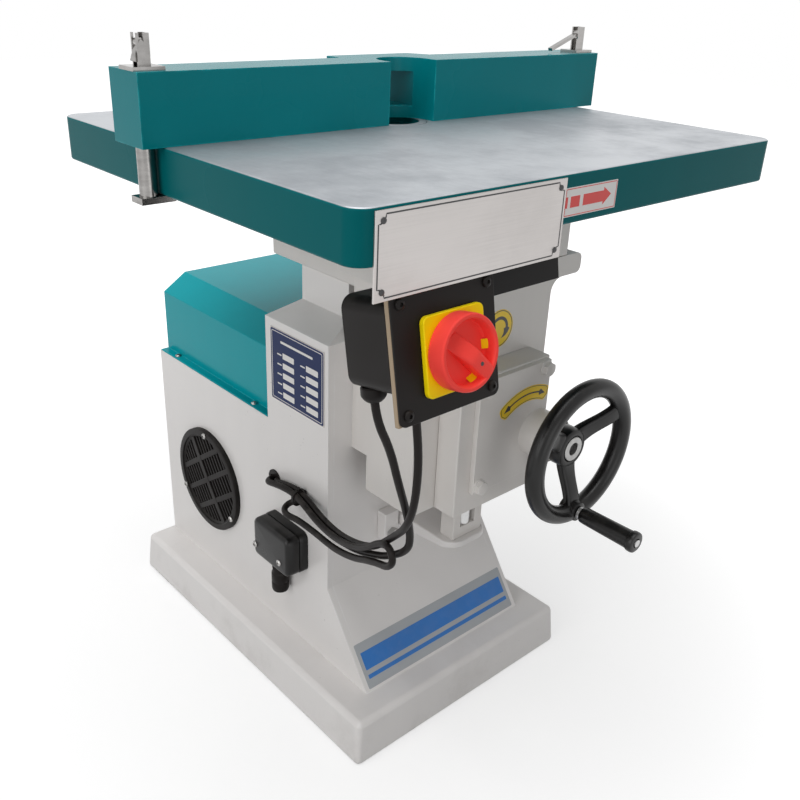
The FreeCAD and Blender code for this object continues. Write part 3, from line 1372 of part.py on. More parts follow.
def make_grommet():
    """Grommet in the side plate with a bore for each cable, eased in the flange where the cables bend."""
    centre = (grommet_y, grommet_z)
    flange = rod("grommet_flange", "X", s.grommet_radius, (-half_stand - s.grommet_depth, -half_stand),
                 centre)
    plug = rod("grommet_plug", "X", s.grommet_radius - s.grommet_lip, (-half_stand, -inner_half), centre)
    through = (-half_stand - s.grommet_depth - s.overrun, -inner_half + s.overrun)
    half = s.cable_radius + s.strand_gap / 2
    places = [(grommet_y - half, grommet_z), (grommet_y + half, grommet_z)]
    mouth = (through[0], -half_stand)
    bores = [rod(f"cable_bore{index}", "X", s.cable_radius + s.cable_ease, through, place)
             for index, place in enumerate(places)]
    bores += [rod(f"cable_mouth{index}", "X", s.cable_radius + s.mouth_ease, mouth, place)
              for index, place in enumerate(places)]
    node("cable_grommet", cut("grommet", fuse("grommet_solid", flange, plug), *bores))


# Places worked out from the sizes above

head_tube_high = table_bottom - s.head_tube_top_gap
head_tube_low = pulley_high + s.head_tube_low_gap
lower_bearing = (head_tube_low + s.bearing_inset, head_tube_low + s.bearing_inset + s.bearing_width)
upper_bearing = (head_tube_high - s.bearing_inset - s.bearing_width, head_tube_high - s.bearing_inset)
nose_top = table_top - s.nose_below_table
motor_top = pulley_low - s.motor_plate_gap - s.motor_plate_thickness
half_support = s.support_pad_width / 2
bracket_land = s.bracket_flange + s.table_rim
shroud_lap = s.seam_gap
case_x = (s.case_offset - s.case_width / 2, s.case_offset + s.case_width / 2)
boss_face = cover_face - s.boss_length
nut_z = (shaft_z - s.nut_length / 2, shaft_z + s.nut_length / 2)
pinion_radius = shaft_x - s.nut_radius - s.gear_backlash
pinion_y = (screw_y - s.pinion_length / 2, screw_y + s.pinion_length / 2)
cavity_x = (-s.nut_radius - s.case_wall, -s.nut_radius - s.case_wall + s.cavity_width)
cavity_z = (shaft_z - s.cavity_height / 2, shaft_z + s.cavity_height / 2)
hub_back = boss_face - s.collar_length - s.free_gap
hub_face = hub_back - s.hub_length
rim_plane = (hub_face + hub_back) / 2 - s.wheel_dish
grip_root = rim_plane - s.rim_thickness / 2 - s.overrun
grip_end = grip_root - s.grip_collar_length - s.grip_length
grip_turn = math.radians(SPOKE_ANGLES[-1])
grip_centre = (shaft_x + s.grip_circle * round(math.cos(grip_turn), 6),
               shaft_z + s.grip_circle * round(math.sin(grip_turn), 6))
fence_face = spindle_y - s.fence_lead
fence_back = fence_face + s.fence_depth
fence_foot = table_top + s.slide_clearance
post_x = s.table_length / 2 + s.post_gap + s.post_radius
post_places = (-post_x, post_x)
clamp_places = (-post_x + s.clamp_inset, post_x - s.clamp_inset)
post_y = fence_face + s.post_setback
foot_low = table_bottom - s.free_gap - s.foot_thickness
plate_z = (fence_foot + s.fence_height, fence_foot + s.fence_height + s.clamp_plate_thickness)
channel_top = plate_z[1] + s.channel_height
lever_pivot = channel_top - s.lever_pivot_drop
panel_back = panel_face + s.panel_thickness
backing_back = panel_back + s.backing_thickness
box_x = (-s.switch_left, -s.switch_left + s.switch_box_width)
box_z = (panel_top - s.switch_box_corner / 2 - s.switch_box_height, panel_top - s.switch_box_corner / 2)
gland_z = (box_z[0] - s.switch_gland_length, box_z[0])
gland_places = ((box_x[0] + s.switch_gland_inset, backing_back + s.switch_gland_setback),
                (box_x[0] + s.second_gland_inset, backing_back + s.second_gland_setback))
vent_y = s.stand_back - s.vent_from_back
vent_z = s.base_height + s.vent_rise
junction_y = (stand_face + s.junction_from_front, stand_face + s.junction_from_front + s.junction_length)
junction_z = (skirt_top + s.junction_rise, skirt_top + s.junction_rise + s.junction_height)
grommet_y = stand_face + s.grommet_setback
grommet_z = s.base_height + s.grommet_rise
strand_pitch = 2 * s.cable_radius.value + s.strand_gap.value
tie_half = s.cable_radius * 2 + s.strand_gap / 2 + s.tie_gap
tie_centre = (-half_stand - s.tie_thickness - tie_half, grommet_y - s.tie_setback, grommet_z + s.tie_rise)


def finish():
    """Recompute, check every piece and write one file per sub-part."""
    DOC.recompute()
    broken = [piece.Name for piece in DOC.Objects if "Invalid" in piece.State or "Error" in piece.State]
    if broken:
        raise RuntimeError("pieces that failed: " + ", ".join(broken))
    for label, piece in NODES.items():
        if piece.Shape.isNull() or not piece.Shape.isValid() or not piece.Shape.Solids:
            raise RuntimeError(f"{label} has no valid solid")
    os.makedirs("parts", exist_ok=True)
    for label, piece in NODES.items():
        piece.Shape.exportStep(f"parts/{label}.step")
    print(len(NODES), "sub-parts written")


def main():
    """Make every sub-part in the order in which the machine is put together."""
    make_base()
    make_stand_plates()
    make_column_head()
    make_spindle()
    make_motor()
    make_belt()
    make_table()
    make_table_support()
    make_knee()
    make_way()
    make_gear_case()
    make_lift()
    make_handwheel()
    make_fence()
    make_clamps()
    make_motor_cover()
    make_vent()
    make_junction_box()
    make_small_screws()
    make_plates()
    make_switch()
    make_cables()
    finish()


main()
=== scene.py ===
"""Looks of a spindle moulder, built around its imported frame.

Lengths are metres in the frame of the part: X to the operator's right, Y to the back, Z up.
Turned profiles, screw heads, cable routes and rounded edges are millimetres.
"""

import json
import math

import bmesh
import bpy
import numpy as np
from mathutils import Matrix, Vector


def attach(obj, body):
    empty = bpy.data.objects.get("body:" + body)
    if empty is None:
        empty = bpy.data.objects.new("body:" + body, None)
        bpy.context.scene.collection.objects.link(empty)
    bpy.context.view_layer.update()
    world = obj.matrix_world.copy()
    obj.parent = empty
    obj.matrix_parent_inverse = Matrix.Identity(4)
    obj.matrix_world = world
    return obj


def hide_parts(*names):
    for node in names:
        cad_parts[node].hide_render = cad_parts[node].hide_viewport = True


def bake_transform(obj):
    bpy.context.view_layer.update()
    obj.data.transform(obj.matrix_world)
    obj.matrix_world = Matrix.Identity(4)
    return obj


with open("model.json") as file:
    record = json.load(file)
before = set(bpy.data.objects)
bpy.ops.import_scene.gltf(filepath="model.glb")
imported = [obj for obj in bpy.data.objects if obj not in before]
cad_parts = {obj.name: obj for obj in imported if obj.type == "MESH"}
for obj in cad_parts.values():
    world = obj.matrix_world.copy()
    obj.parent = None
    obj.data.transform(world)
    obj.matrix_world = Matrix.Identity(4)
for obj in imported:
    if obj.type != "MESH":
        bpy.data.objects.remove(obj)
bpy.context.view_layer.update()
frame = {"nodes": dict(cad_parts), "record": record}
nodes = frame["nodes"]
MM = 0.001
TURN = 2 * math.pi
RIGHT, BACK, UP = np.eye(3)
TOWARD, LEFT, DOWN = -BACK, -RIGHT, -UP
HEX_FACE, HEX_SLOPE = 0.93, math.tan(math.radians(30))
SHARP_FOLD, SOFT_FOLD, FLAT_FOLD, EDGE_FOLD = (math.radians(angle) for angle in (35, 28, 0.5, 40))


# Shapes

def surface(rings, closed=False):
    """Points of rings, ring by ring, and the quads between them; closed joins the last ring to the first."""
    rows, columns = rings.shape[:2]
    row, column = np.meshgrid(np.arange(rows if closed else rows - 1), np.arange(columns), indexing="ij")
    next_row, next_column = (row + 1) % rows, (column + 1) % columns
    corners = [row * columns + column, next_row * columns + column,
               next_row * columns + next_column, row * columns + next_column]
    return rings.reshape(-1, 3), np.stack(corners, axis=-1).reshape(-1, 4)


def unit(vectors):
    """Each vector divided by its own length."""
    vectors = np.asarray(vectors, dtype=float)
    return vectors / np.linalg.norm(vectors, axis=-1, keepdims=True)


def side_of(axis):
    """Two unit vectors square to an axis and to each other."""
    axis = unit(axis)
    first = unit(np.cross(UP if abs(axis[2]) < 0.9 else RIGHT, axis))
    return first, np.cross(axis, first)


def swung(degrees, first, second):
    """Two directions square to each other, turned in their plane from the first towards the second."""
    angle = math.radians(degrees)
    return (math.cos(angle) * first + math.sin(angle) * second, math.cos(angle) * second - math.sin(angle) * first)


def angles(count):
    """Even angles round a turn."""
    return np.linspace(0.0, TURN, count, endpoint=False)


def soft_circle(count):
    """Two coordinates round a soft square: the roots of a cosine's and a sine's size, with their signs."""
    return [np.sign(wave) * np.sqrt(np.abs(wave)) for wave in (np.cos(angles(count)), np.sin(angles(count)))]


def ease(share):
    """Smooth rise from 0 to 1: three times the square less twice the cube."""
    return share * share * (3.0 - 2.0 * share)


def round_ends(share, start, least):
    """Width of a bar by its share from the middle, -1 to 1: full up to a start, then down a quarter ellipse."""
    return np.sqrt(np.clip(1.0 - ((np.abs(share) - start) / (1.0 - start)).clip(0.0, 1.0) ** 2, least, 1.0))


def capped(rings):
    """Surface of rings of points, closed at both ends by the end rings' middle points."""
    ends = [np.broadcast_to(ring.mean(axis=0), (1,) + ring.shape) for ring in (rings[0], rings[-1])]
    return surface(np.concatenate([ends[0], rings, ends[1]]))


def on_plane(flat, depth, plane):
    """Flat points in space: the plane's origin + x right + y up, and a depth along its outward normal."""
    origin, right, up = plane[0], unit(plane[1]), unit(plane[2])
    return np.asarray(origin) + flat[..., :1] * right + flat[..., 1:] * up + depth * np.cross(right, up)


def raised(plane, depth):
    """A plane moved along its outward normal."""
    origin, right, up = plane
    return origin + depth * np.cross(right, up), right, up


def turned(way, radius, angle, start, axis, closed=False):
    """Surface of the points start + axis way + radius (u cos t + v sin t), where u and v are square to the axis."""
    first, second = side_of(axis)
    return surface(np.asarray(start) + way[..., None] * unit(axis) + (radius * np.cos(angle))[..., None] * first
                   + (radius * np.sin(angle))[..., None] * second, closed)


def lathe(profile, start, axis, turns, closed=False):
    """Profile of (way along the axis, radius) turned about the axis."""
    way, radius = (np.asarray(profile) * MM).T[:, :, None]
    return turned(way, radius, angles(turns)[None, :], start, axis, closed)


def tube(path, radius):
    """Circle of a radius carried along a path, closed at both ends; no path runs along its guide."""
    ahead = unit(np.gradient(path, axis=0))
    guide = unit([0.6, 0.45, 0.66])
    first = unit(guide - (ahead @ guide)[:, None] * ahead)
    second = np.cross(ahead, first)
    angle = angles(14)[None, :, None]
    return capped(path[:, None] + radius * (first[:, None] * np.cos(angle) + second[:, None] * np.sin(angle)))


def patch(outline, plane, thickness, middle=(0.0, 0.0), edge=0.0001):
    """Thin plate on a plane: its outline at the back, at the face and drawn in a little, closed to a middle."""
    outline, middle = np.asarray(outline, dtype=float), np.asarray(middle, dtype=float)
    reach = np.linalg.norm(outline - middle, axis=1, keepdims=True)
    drawn_in = middle + (outline - middle) * (1.0 - edge / reach)
    centre = np.broadcast_to(middle, outline.shape)
    rings = np.stack([centre, outline, outline, drawn_in, centre])
    depth = np.array([0.0, 0.0, thickness - edge, thickness, thickness])[:, None, None]
    return surface(on_plane(rings, depth, plane))


def rounded_outline(width, height, corner):
    """Ring of points round a rectangle about its middle, with a quarter circle at each corner."""
    quarter = np.linspace(0.0, math.pi / 2, 6)
    angle = (quarter[None, :] + np.arange(4)[:, None] * math.pi / 2).ravel()
    side = np.repeat([[1, 1], [-1, 1], [-1, -1], [1, -1]], len(quarter), axis=0)
    centre = side * np.array([width / 2 - corner, height / 2 - corner])
    return centre + corner * np.stack([np.cos(angle), np.sin(angle)], axis=1)


def soft_block(width, height, corner, rows, plane):
    """Rounded rectangle carried out of a plane through rows of (way out, inset), closed at both ends."""
    rows = np.array(rows) * MM
    rings = [rounded_outline(width - 2 * inset, height - 2 * inset, max(corner - inset, MM)) for _, inset in rows]
    rings = np.stack([0 * rings[0]] + rings + [0 * rings[0]])
    depth = np.array([rows[0][0]] + [way for way, _ in rows] + [rows[-1][0]])[:, None, None]
    return surface(on_plane(rings, depth, plane))


def sideways(ahead, half_width):
    """Steps of a half width, which may vary, square to a flat line's directions."""
    return np.stack([-ahead[:, 1], ahead[:, 0]], axis=1) * np.broadcast_to(half_width, len(ahead))[:, None]


def flat_band(line, ahead, half_width, plane, thickness):
    """Four corners of a band at each point of a line on a plane: a half width to both sides, at foot and face."""
    across = sideways(ahead, half_width)
    corners = [(line + across, 0.0), (line - across, 0.0), (line - across, thickness), (line + across, thickness)]
    return np.stack([on_plane(side, depth, plane) for side, depth in corners], axis=1)


def ribbon(line, half_width, plane, thickness):
    """Flat band about an open line on a plane, whose half width may vary, closed at both ends."""
    return capped(flat_band(line, unit(np.gradient(line, axis=0)), half_width, plane, thickness))


def loop_band(line, half_width, plane, thickness):
    """Flat band that follows a closed line on a plane, a half width to each side."""
    ahead = unit(np.roll(line, -1, axis=0) - np.roll(line, 1, axis=0))
    return surface(flat_band(line, ahead, half_width, plane, thickness), True)


def hex_head(foot, axis, flats, height):
    """Hexagon head: radius = half flats / cos of the angle to the nearest flat, its corners cut by a cone."""
    angle = angles(48)
    nearest = (angle + TURN / 12) % (TURN / 6) - TURN / 12
    radius, face = flats / 2 / np.cos(nearest), flats / 2 * HEX_FACE
    zero = np.zeros_like(angle)
    way = np.stack([zero, zero, height - (radius - face) * HEX_SLOPE, zero + height, zero + height])
    reach = np.stack([zero, radius, radius, zero + face, zero])
    return turned(way, reach, angle, foot, axis)


def screw_dome(foot, axis, radius, height, recess=0.4, depth=0.5):
    """Domed screw head: radius falls as a quarter ellipse of the way up, with a round recess in its middle."""
    rise = np.linspace(0.0, math.pi / 2 * 0.75, 6)
    profile = [(0.0, 0.0), (0.0, radius)]
    profile += list(zip(height * (0.35 + 0.65 * np.sin(rise) / np.sin(rise[-1])),
                        radius * (1.0 - (1.0 - recess) * (1.0 - np.cos(rise)) / (1.0 - np.cos(rise[-1])))))
    profile += [(height * (1.0 - depth), radius * recess * 0.85), (height * (1.0 - depth), 0.0)]
    return lathe(profile, foot, axis, 24)


def put(name, data):
    """A new object with its data, in the scene."""
    made = bpy.data.objects.new(name, data)
    bpy.context.collection.objects.link(made)
    return made


def make_piece(name, parts, finish, body, replaces=()):
    """One mesh at the origin from several grids: seams merged, faces turned outward, smooth but for sharp folds."""
    starts = np.cumsum([0] + [len(points) for points, _ in parts])
    points = np.concatenate([points for points, _ in parts])
    faces = np.concatenate([quads + start for (_, quads), start in zip(parts, starts)])
    mesh = bpy.data.meshes.new(name)
    mesh.from_pydata(points.tolist(), [], faces.tolist())
    shape = bmesh.new()
    shape.from_mesh(mesh)
    bmesh.ops.remove_doubles(shape, verts=shape.verts, dist=1e-6)
    bmesh.ops.recalc_face_normals(shape, faces=shape.faces)
    shape.to_mesh(mesh)
    shape.free()
    mesh.shade_smooth()
    mesh.set_sharp_from_angle(angle=SHARP_FOLD)
    mesh.materials.append(finishes[finish])
    piece = put(name, mesh)
    if body:
        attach(piece, body)
    if replaces:
        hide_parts(*replaces)
    return piece


# Node helpers

def tint(red, green, blue):
    """Colour on the 0 to 255 screen scale as linear light."""
    level = np.array([red, green, blue]) / 255.0
    linear = np.where(level <= 0.04045, level / 12.92, ((level + 0.055) / 1.055) ** 2.4)
    return tuple(float(part) for part in linear) + (1.0,)


def settle(made, settings):
    """A new thing with its settings."""
    for key, value in settings.items():
        setattr(made, key, value)
    return made


def fill(tree, node, inputs):
    """A node's inputs: a link where a value is a socket, a plain value where it isn't."""
    for key, value in inputs.items():
        if isinstance(value, bpy.types.NodeSocket):
            tree.links.new(value, node.inputs[key])
        else:
            node.inputs[key].default_value = value
    return node


def add(tree, kind, inputs=None, **settings):
    """A node, by a shader node's short name or any full one, with its settings and inputs."""
    made = tree.nodes.new(kind if "Node" in kind else "ShaderNode" + kind)
    return fill(tree, settle(made, settings), inputs or {})


def calc(tree, operation, first, second, clamp=False):
    """One sum on two values or sockets."""
    return add(tree, "Math", {0: first, 1: second}, operation=operation, use_clamp=clamp).outputs[0]


def times(tree, first, *others, clamp=False):
    """Values or sockets multiplied one after the other."""
    for other in others:
        first = calc(tree, "MULTIPLY", first, other, clamp)
    return first


def sway(tree, value, middle, amount):
    """How far a value is from its middle, times an amount."""
    return times(tree, calc(tree, "SUBTRACT", value, middle), amount)


def uneven(tree, gloss, pattern, middle, amount, cover, dulling):
    """Roughness: a gloss that sways with a pattern and is dulled by a cover."""
    rough = calc(tree, "ADD", gloss, sway(tree, pattern, middle, amount))
    return calc(tree, "ADD", rough, times(tree, cover, dulling), True)


def fade(tree, value, low, high, bottom=0.0, top=1.0):
    """A value brought smoothly from bottom to top as it goes from low to high."""
    inputs = {"Value": value, "From Min": low, "From Max": high, "To Min": bottom, "To Max": top}
    return add(tree, "MapRange", inputs, interpolation_type="SMOOTHSTEP").outputs["Result"]


def blend_colour(tree, share, first, second):
    """Two colours mixed by a share."""
    return add(tree, "Mix", {0: share, 6: first, 7: second}, data_type="RGBA").outputs[2]


def noise(tree, place, scale, detail=2.0, rough=0.5):
    """Soft random value over a place."""
    inputs = {"Vector": place, "Scale": scale, "Detail": detail, "Roughness": rough}
    return add(tree, "TexNoise", inputs).outputs["Fac"]


def object_place(tree):
    """Object coordinates."""
    return add(tree, "TexCoord").outputs["Object"]


def stretched(tree, place, scale):
    """A place multiplied by a scale along each axis."""
    return add(tree, "VectorMath", {0: place, 1: scale}, operation="MULTIPLY").outputs["Vector"]


def effect(name, inputs, outputs):
    """An empty node group with named sockets, and its two end nodes."""
    tree = bpy.data.node_groups.new(name, "ShaderNodeTree")
    for label, value in inputs.items():
        kind = "Float" if isinstance(value, float) else "Color" if len(value) == 4 else "Vector"
        tree.interface.new_socket(label, in_out="INPUT", socket_type="NodeSocket" + kind).default_value = value
    for label, kind in outputs.items():
        tree.interface.new_socket(label, in_out="OUTPUT", socket_type="NodeSocket" + kind)
    return tree, tree.nodes.new("NodeGroupInput").outputs, tree.nodes.new("NodeGroupOutput")


WHITE = (1.0, 1.0, 1.0, 1.0)
SKIN = {"Colour": "Color", "Roughness": "Float", "Height": "Float"}


def paint_effect():
    """Sprayed paint: broad tone, runs down the sides, floor grime, small chips, and the fine peel of the spray."""
    tree, given, out = effect("paint_coat", {"Colour": WHITE, "Under": WHITE, "Tone": 0.06, "Grime": 0.3,
                                             "Chips": 0.3, "Scuff": 0.0, "Gloss": 0.35}, SKIN)
    place = object_place(tree)
    level = add(tree, "SeparateXYZ", {0: place}).outputs["Z"]
    broad = noise(tree, place, 4.0, 4.0, 0.55)
    runs = noise(tree, stretched(tree, place, (26.0, 26.0, 1.6)), 1.0, 3.0)
    shade = calc(tree, "ADD", calc(tree, "SUBTRACT", broad, 0.5), sway(tree, runs, 0.5, 0.6))
    value = calc(tree, "ADD", 1.0, times(tree, shade, given["Tone"]))
    toned = add(tree, "HueSaturation", {"Value": value, "Color": given["Colour"]}).outputs["Color"]
    low = fade(tree, level, 0.0, 0.11, 1.0, 0.12)
    blotch = fade(tree, noise(tree, place, 11.0, 7.0, 0.68), 0.47, 0.74)
    dirt = times(tree, low, blotch, given["Grime"], clamp=True)
    soiled = blend_colour(tree, dirt, toned, tint(112, 102, 90))
    fleck = fade(tree, noise(tree, place, 130.0, 3.0, 0.6), 0.705, 0.73)
    field = fade(tree, noise(tree, place, 9.0), 0.5, 0.7)
    knock = times(tree, fade(tree, level, 0.002, 0.009, 1.0, 0.0),
                  fade(tree, noise(tree, place, 30.0, 5.0, 0.62), 0.6, 0.64))
    chip = calc(tree, "ADD", times(tree, fleck, field, given["Chips"]), times(tree, knock, given["Scuff"]), True)
    peel = noise(tree, place, 210.0)
    fill(tree, out, {"Colour": blend_colour(tree, chip, soiled, given["Under"]),
                     "Roughness": uneven(tree, given["Gloss"], broad, 0.4, 0.2, dirt, 0.35),
                     "Height": calc(tree, "SUBTRACT", peel, times(tree, chip, 2.0))})
    return tree


def edge_wear_and_highlight_effect():
    """Edge mask for wear and a painted highlight: where the rounded normal leaves the true one, broken up by noise.
    """
    tree, given, out = effect("edge_wear_and_highlight", {"Radius": 0.004, "Amount": 0.5}, {"Mask": "Float"})
    place = object_place(tree)
    rounded = add(tree, "Bevel", {"Radius": given["Radius"]}, samples=4).outputs["Normal"]
    true = add(tree, "NewGeometry").outputs["True Normal"]
    agree = add(tree, "VectorMath", {0: rounded, 1: true}, operation="DOT_PRODUCT").outputs["Value"]
    turn = fade(tree, calc(tree, "SUBTRACT", 1.0, agree), 0.02, 0.2)
    broken = fade(tree, noise(tree, place, 42.0, 5.0, 0.65), 0.36, 0.62)
    fill(tree, out, {"Mask": times(tree, turn, broken, given["Amount"], clamp=True)})
    return tree


def metal_effect():
    """Worked metal: fine lines along the tool's way, with broad smears that change colour and gloss."""
    tree, given, out = effect("worked_metal", {"Colour": WHITE, "Dull": WHITE, "Lines": (1.0, 1.0, 1.0),
                                               "Streak": 0.5, "Smear": 0.4, "Gloss": 0.3}, SKIN)
    place = object_place(tree)
    lines = noise(tree, stretched(tree, place, given["Lines"]), 1.0, 4.0, 0.6)
    cloud = fade(tree, noise(tree, place, 6.5, 6.0, 0.62), 0.36, 0.68)
    streak = sway(tree, lines, 0.5, given["Streak"])
    share = calc(tree, "ADD", times(tree, cloud, given["Smear"]), streak, True)
    sheen = times(tree, given["Streak"], 0.5)
    fill(tree, out, {"Colour": blend_colour(tree, share, given["Colour"], given["Dull"]),
                     "Roughness": uneven(tree, given["Gloss"], lines, 0.5, sheen, cloud, 0.12), "Height": lines})
    return tree


def plastic_effect():
    """Moulded plastic: fine spark-etched grain, faint flow clouds and a little dust on upward faces."""
    tree, given, out = effect("moulded_grain", {"Colour": WHITE, "Dust": 0.1, "Gloss": 0.4}, SKIN)
    place = object_place(tree)
    cloud = noise(tree, place, 24.0, 4.0)
    grain = noise(tree, place, 900.0)
    value = calc(tree, "ADD", 0.9, times(tree, cloud, 0.2))
    toned = add(tree, "HueSaturation", {"Value": value, "Color": given["Colour"]}).outputs["Color"]
    up = add(tree, "SeparateXYZ", {0: add(tree, "NewGeometry").outputs["True Normal"]}).outputs["Z"]
    lying = fade(tree, noise(tree, place, 60.0, 5.0), 0.4, 0.7)
    dust = times(tree, fade(tree, up, 0.2, 0.9), lying, given["Dust"], clamp=True)
    fill(tree, out, {"Colour": blend_colour(tree, dust, toned, tint(176, 170, 160)),
                     "Roughness": uneven(tree, given["Gloss"], cloud, 0.5, 0.2, dust, 0.4), "Height": grain})
    return tree


# EDGE brightens the edges of paint: wear and a painted highlight.
PAINT, EDGE, METAL, PLASTIC = paint_effect(), edge_wear_and_highlight_effect(), metal_effect(), plastic_effect()
PAINT_PEEL, TOOL_LINES, MOULD_GRAIN = 0.00006, 0.00003, 0.00004
EDGE_MASK_RADIUS = 0.003


def new_finish(name, **sockets):
    """A material with one shader; plain values go straight on the shader's own sockets."""
    material = bpy.data.materials.new(name)
    material.use_nodes = True
    tree = material.node_tree
    tree.nodes.clear()
    shader = add(tree, "BsdfPrincipled", sockets)
    add(tree, "OutputMaterial", {0: shader.outputs[0]})
    return material, tree, shader


def place_effect(tree, group, values):
    """A node group placed in a tree, with its own values."""
    return add(tree, "Group", values, node_tree=group).outputs


def lay_skin(tree, shader, colour, roughness, height, depth, strength=0.5):
    """Colour, roughness and a fine relief on a shader."""
    bump = add(tree, "Bump", {"Height": height, "Distance": depth, "Strength": strength})
    fill(tree, shader, {"Base Color": colour, "Roughness": roughness, "Normal": bump.outputs[0]})


def painted(name, colour, under, edge, tone, grime, chips, gloss, wear_and_highlight, peel=PAINT_PEEL, scuff=0.0, **sockets):
    """Paint with its grime and chips, and brighter along the edges: wear and a painted highlight."""
    material, tree, shader = new_finish(name, **sockets)
    skin = place_effect(tree, PAINT, {"Colour": colour, "Under": under, "Tone": tone, "Grime": grime,
                                      "Chips": chips, "Scuff": scuff, "Gloss": gloss})
    worn_and_lit = place_effect(tree, EDGE, {"Radius": EDGE_MASK_RADIUS, "Amount": wear_and_highlight})["Mask"]
    coat = blend_colour(tree, worn_and_lit, skin["Colour"], edge)
    lay_skin(tree, shader, coat, skin["Roughness"], skin["Height"], peel, 0.6)
    return material


def worked(name, colour, dull, lines, smear, gloss, depth=TOOL_LINES, **sockets):
    """Bare or plated metal with tool lines."""
    material, tree, shader = new_finish(name, **{"Metallic": 1.0, **sockets})
    skin = place_effect(tree, METAL, {"Colour": colour, "Dull": dull, "Lines": lines, "Smear": smear,
                                      "Gloss": gloss})
    lay_skin(tree, shader, *skin, depth)
    return material


def moulded(name, colour, gloss, dust, **sockets):
    """Moulded plastic or rubber."""
    material, tree, shader = new_finish(name, **sockets)
    skin = place_effect(tree, PLASTIC, {"Colour": colour, "Dust": dust, "Gloss": gloss})
    lay_skin(tree, shader, *skin, MOULD_GRAIN)
    return material


# Finishes

# The hood's teal is the same paint as the fence's, made lighter: a painted highlight for the light on the hood's
# top.
FENCE_TEAL, TABLE_TEAL, LIT_HOOD_TEAL = tint(2, 120, 127), tint(2, 95, 99), tint(0, 156, 166)
# Brighter teal for the edges: wear and a painted highlight.
TEAL_LIT_EDGE = tint(40, 180, 188)
TEAL_GLOSS = {"Specular IOR Level": 0.08, "Coat Weight": 0.03, "Coat Roughness": 0.05}
PRIMER = tint(74, 70, 66)
DULL = {"Specular IOR Level": 0.12}
# name, colour, colour below, brighter edge (wear and painted highlight), tone, grime, chips, gloss, edge amount,
# more
PAINTS = [
    ("stand_paint", tint(228, 225, 223), tint(70, 64, 58), tint(244, 244, 244), 0.08, 0.16, 0.3, 0.3, 0.5,
     {"scuff": 1.0}),
    ("knee_paint", tint(220, 216, 212), tint(96, 90, 84), tint(236, 235, 232), 0.12, 0.1, 0.3, 0.36, 0.5,
     {"peel": 0.00025}),
    ("teal_paint", FENCE_TEAL, PRIMER, TEAL_LIT_EDGE, 0.14, 0.05, 0.12, 0.24, 0.8, {"peel": 0.00008, **TEAL_GLOSS}),
    ("hood_teal_lit", LIT_HOOD_TEAL, PRIMER, TEAL_LIT_EDGE, 0.14, 0.05, 0.12, 0.2, 0.8, {"peel": 0.00005, **TEAL_GLOSS}),
    ("black_paint", tint(20, 18, 18), PRIMER, tint(60, 58, 56), 0.1, 0.04, 0.1, 0.4, 0.4, DULL),
    ("motor_paint", tint(72, 92, 112), PRIMER, tint(110, 128, 144), 0.12, 0.2, 0.3, 0.4, 0.5, {}),
]
# name, colour, dull colour, tool lines along each axis, smear, gloss, more
METALS = [
    ("machined_steel", tint(198, 198, 198), tint(128, 126, 122), (260.0, 260.0, 260.0), 0.4, 0.3, {}),
    ("turned_face", tint(168, 168, 167), tint(112, 110, 108), (120.0, 120.0, 120.0), 0.3, 0.3, {}),
    ("pulley_iron", tint(120, 120, 120), tint(78, 76, 74), (40.0, 40.0, 700.0), 0.5, 0.42, {}),
    ("bright_plate", tint(176, 174, 172), tint(84, 82, 80), (30.0, 30.0, 160.0), 0.75, 0.13, {"depth": 0.00001}),
    ("light_metal", tint(182, 178, 176), tint(160, 157, 155), (9.0, 9.0, 900.0), 0.2, 0.4, {}),
]
# name, colour, gloss, dust, more
PLASTICS = [
    ("vent_plastic", tint(26, 23, 22), 0.45, 0.05, DULL),
    ("wheel_plastic", tint(14, 13, 13), 0.3, 0.02, {"Specular IOR Level": 0.3}),
    ("cream_plastic", tint(158, 138, 112), 0.45, 0.05, {}),
    ("yellow_plastic", tint(255, 226, 12), 0.35, 0.02, DULL),
    ("red_plastic", tint(255, 76, 68), 0.35, 0.02, DULL),
    ("cable_rubber", tint(27, 23, 22), 0.42, 0.06, DULL),
    ("label_yellow", tint(246, 208, 26), 0.35, 0.05, {}),
    ("label_black", tint(26, 25, 25), 0.4, 0.05, {}),
    ("label_white", tint(226, 224, 222), 0.4, 0.04, {}),
    ("label_red", tint(214, 44, 40), 0.35, 0.04, {}),
    ("label_blue", tint(30, 44, 86), 0.4, 0.02, DULL),
    ("strip_grey", tint(168, 172, 176), 0.4, 0.1, {}),
    ("strip_blue", tint(30, 112, 190), 0.36, 0.06, {}),
    ("plate_ink", tint(52, 52, 54), 0.4, 0.02, {}),
]
BARE_FROM, BARE_FULL = 0.8288, 0.8293


def make_finishes():
    """Every finish of the machine by its slot's name, with a few more for labels and the turned face."""
    made = {"ground_iron": make_table_finish()}
    for kind, rows in ((painted, PAINTS), (worked, METALS), (moulded, PLASTICS)):
        for name, *values, more in rows:
            made[name] = kind(name, *values, **more)
    return made


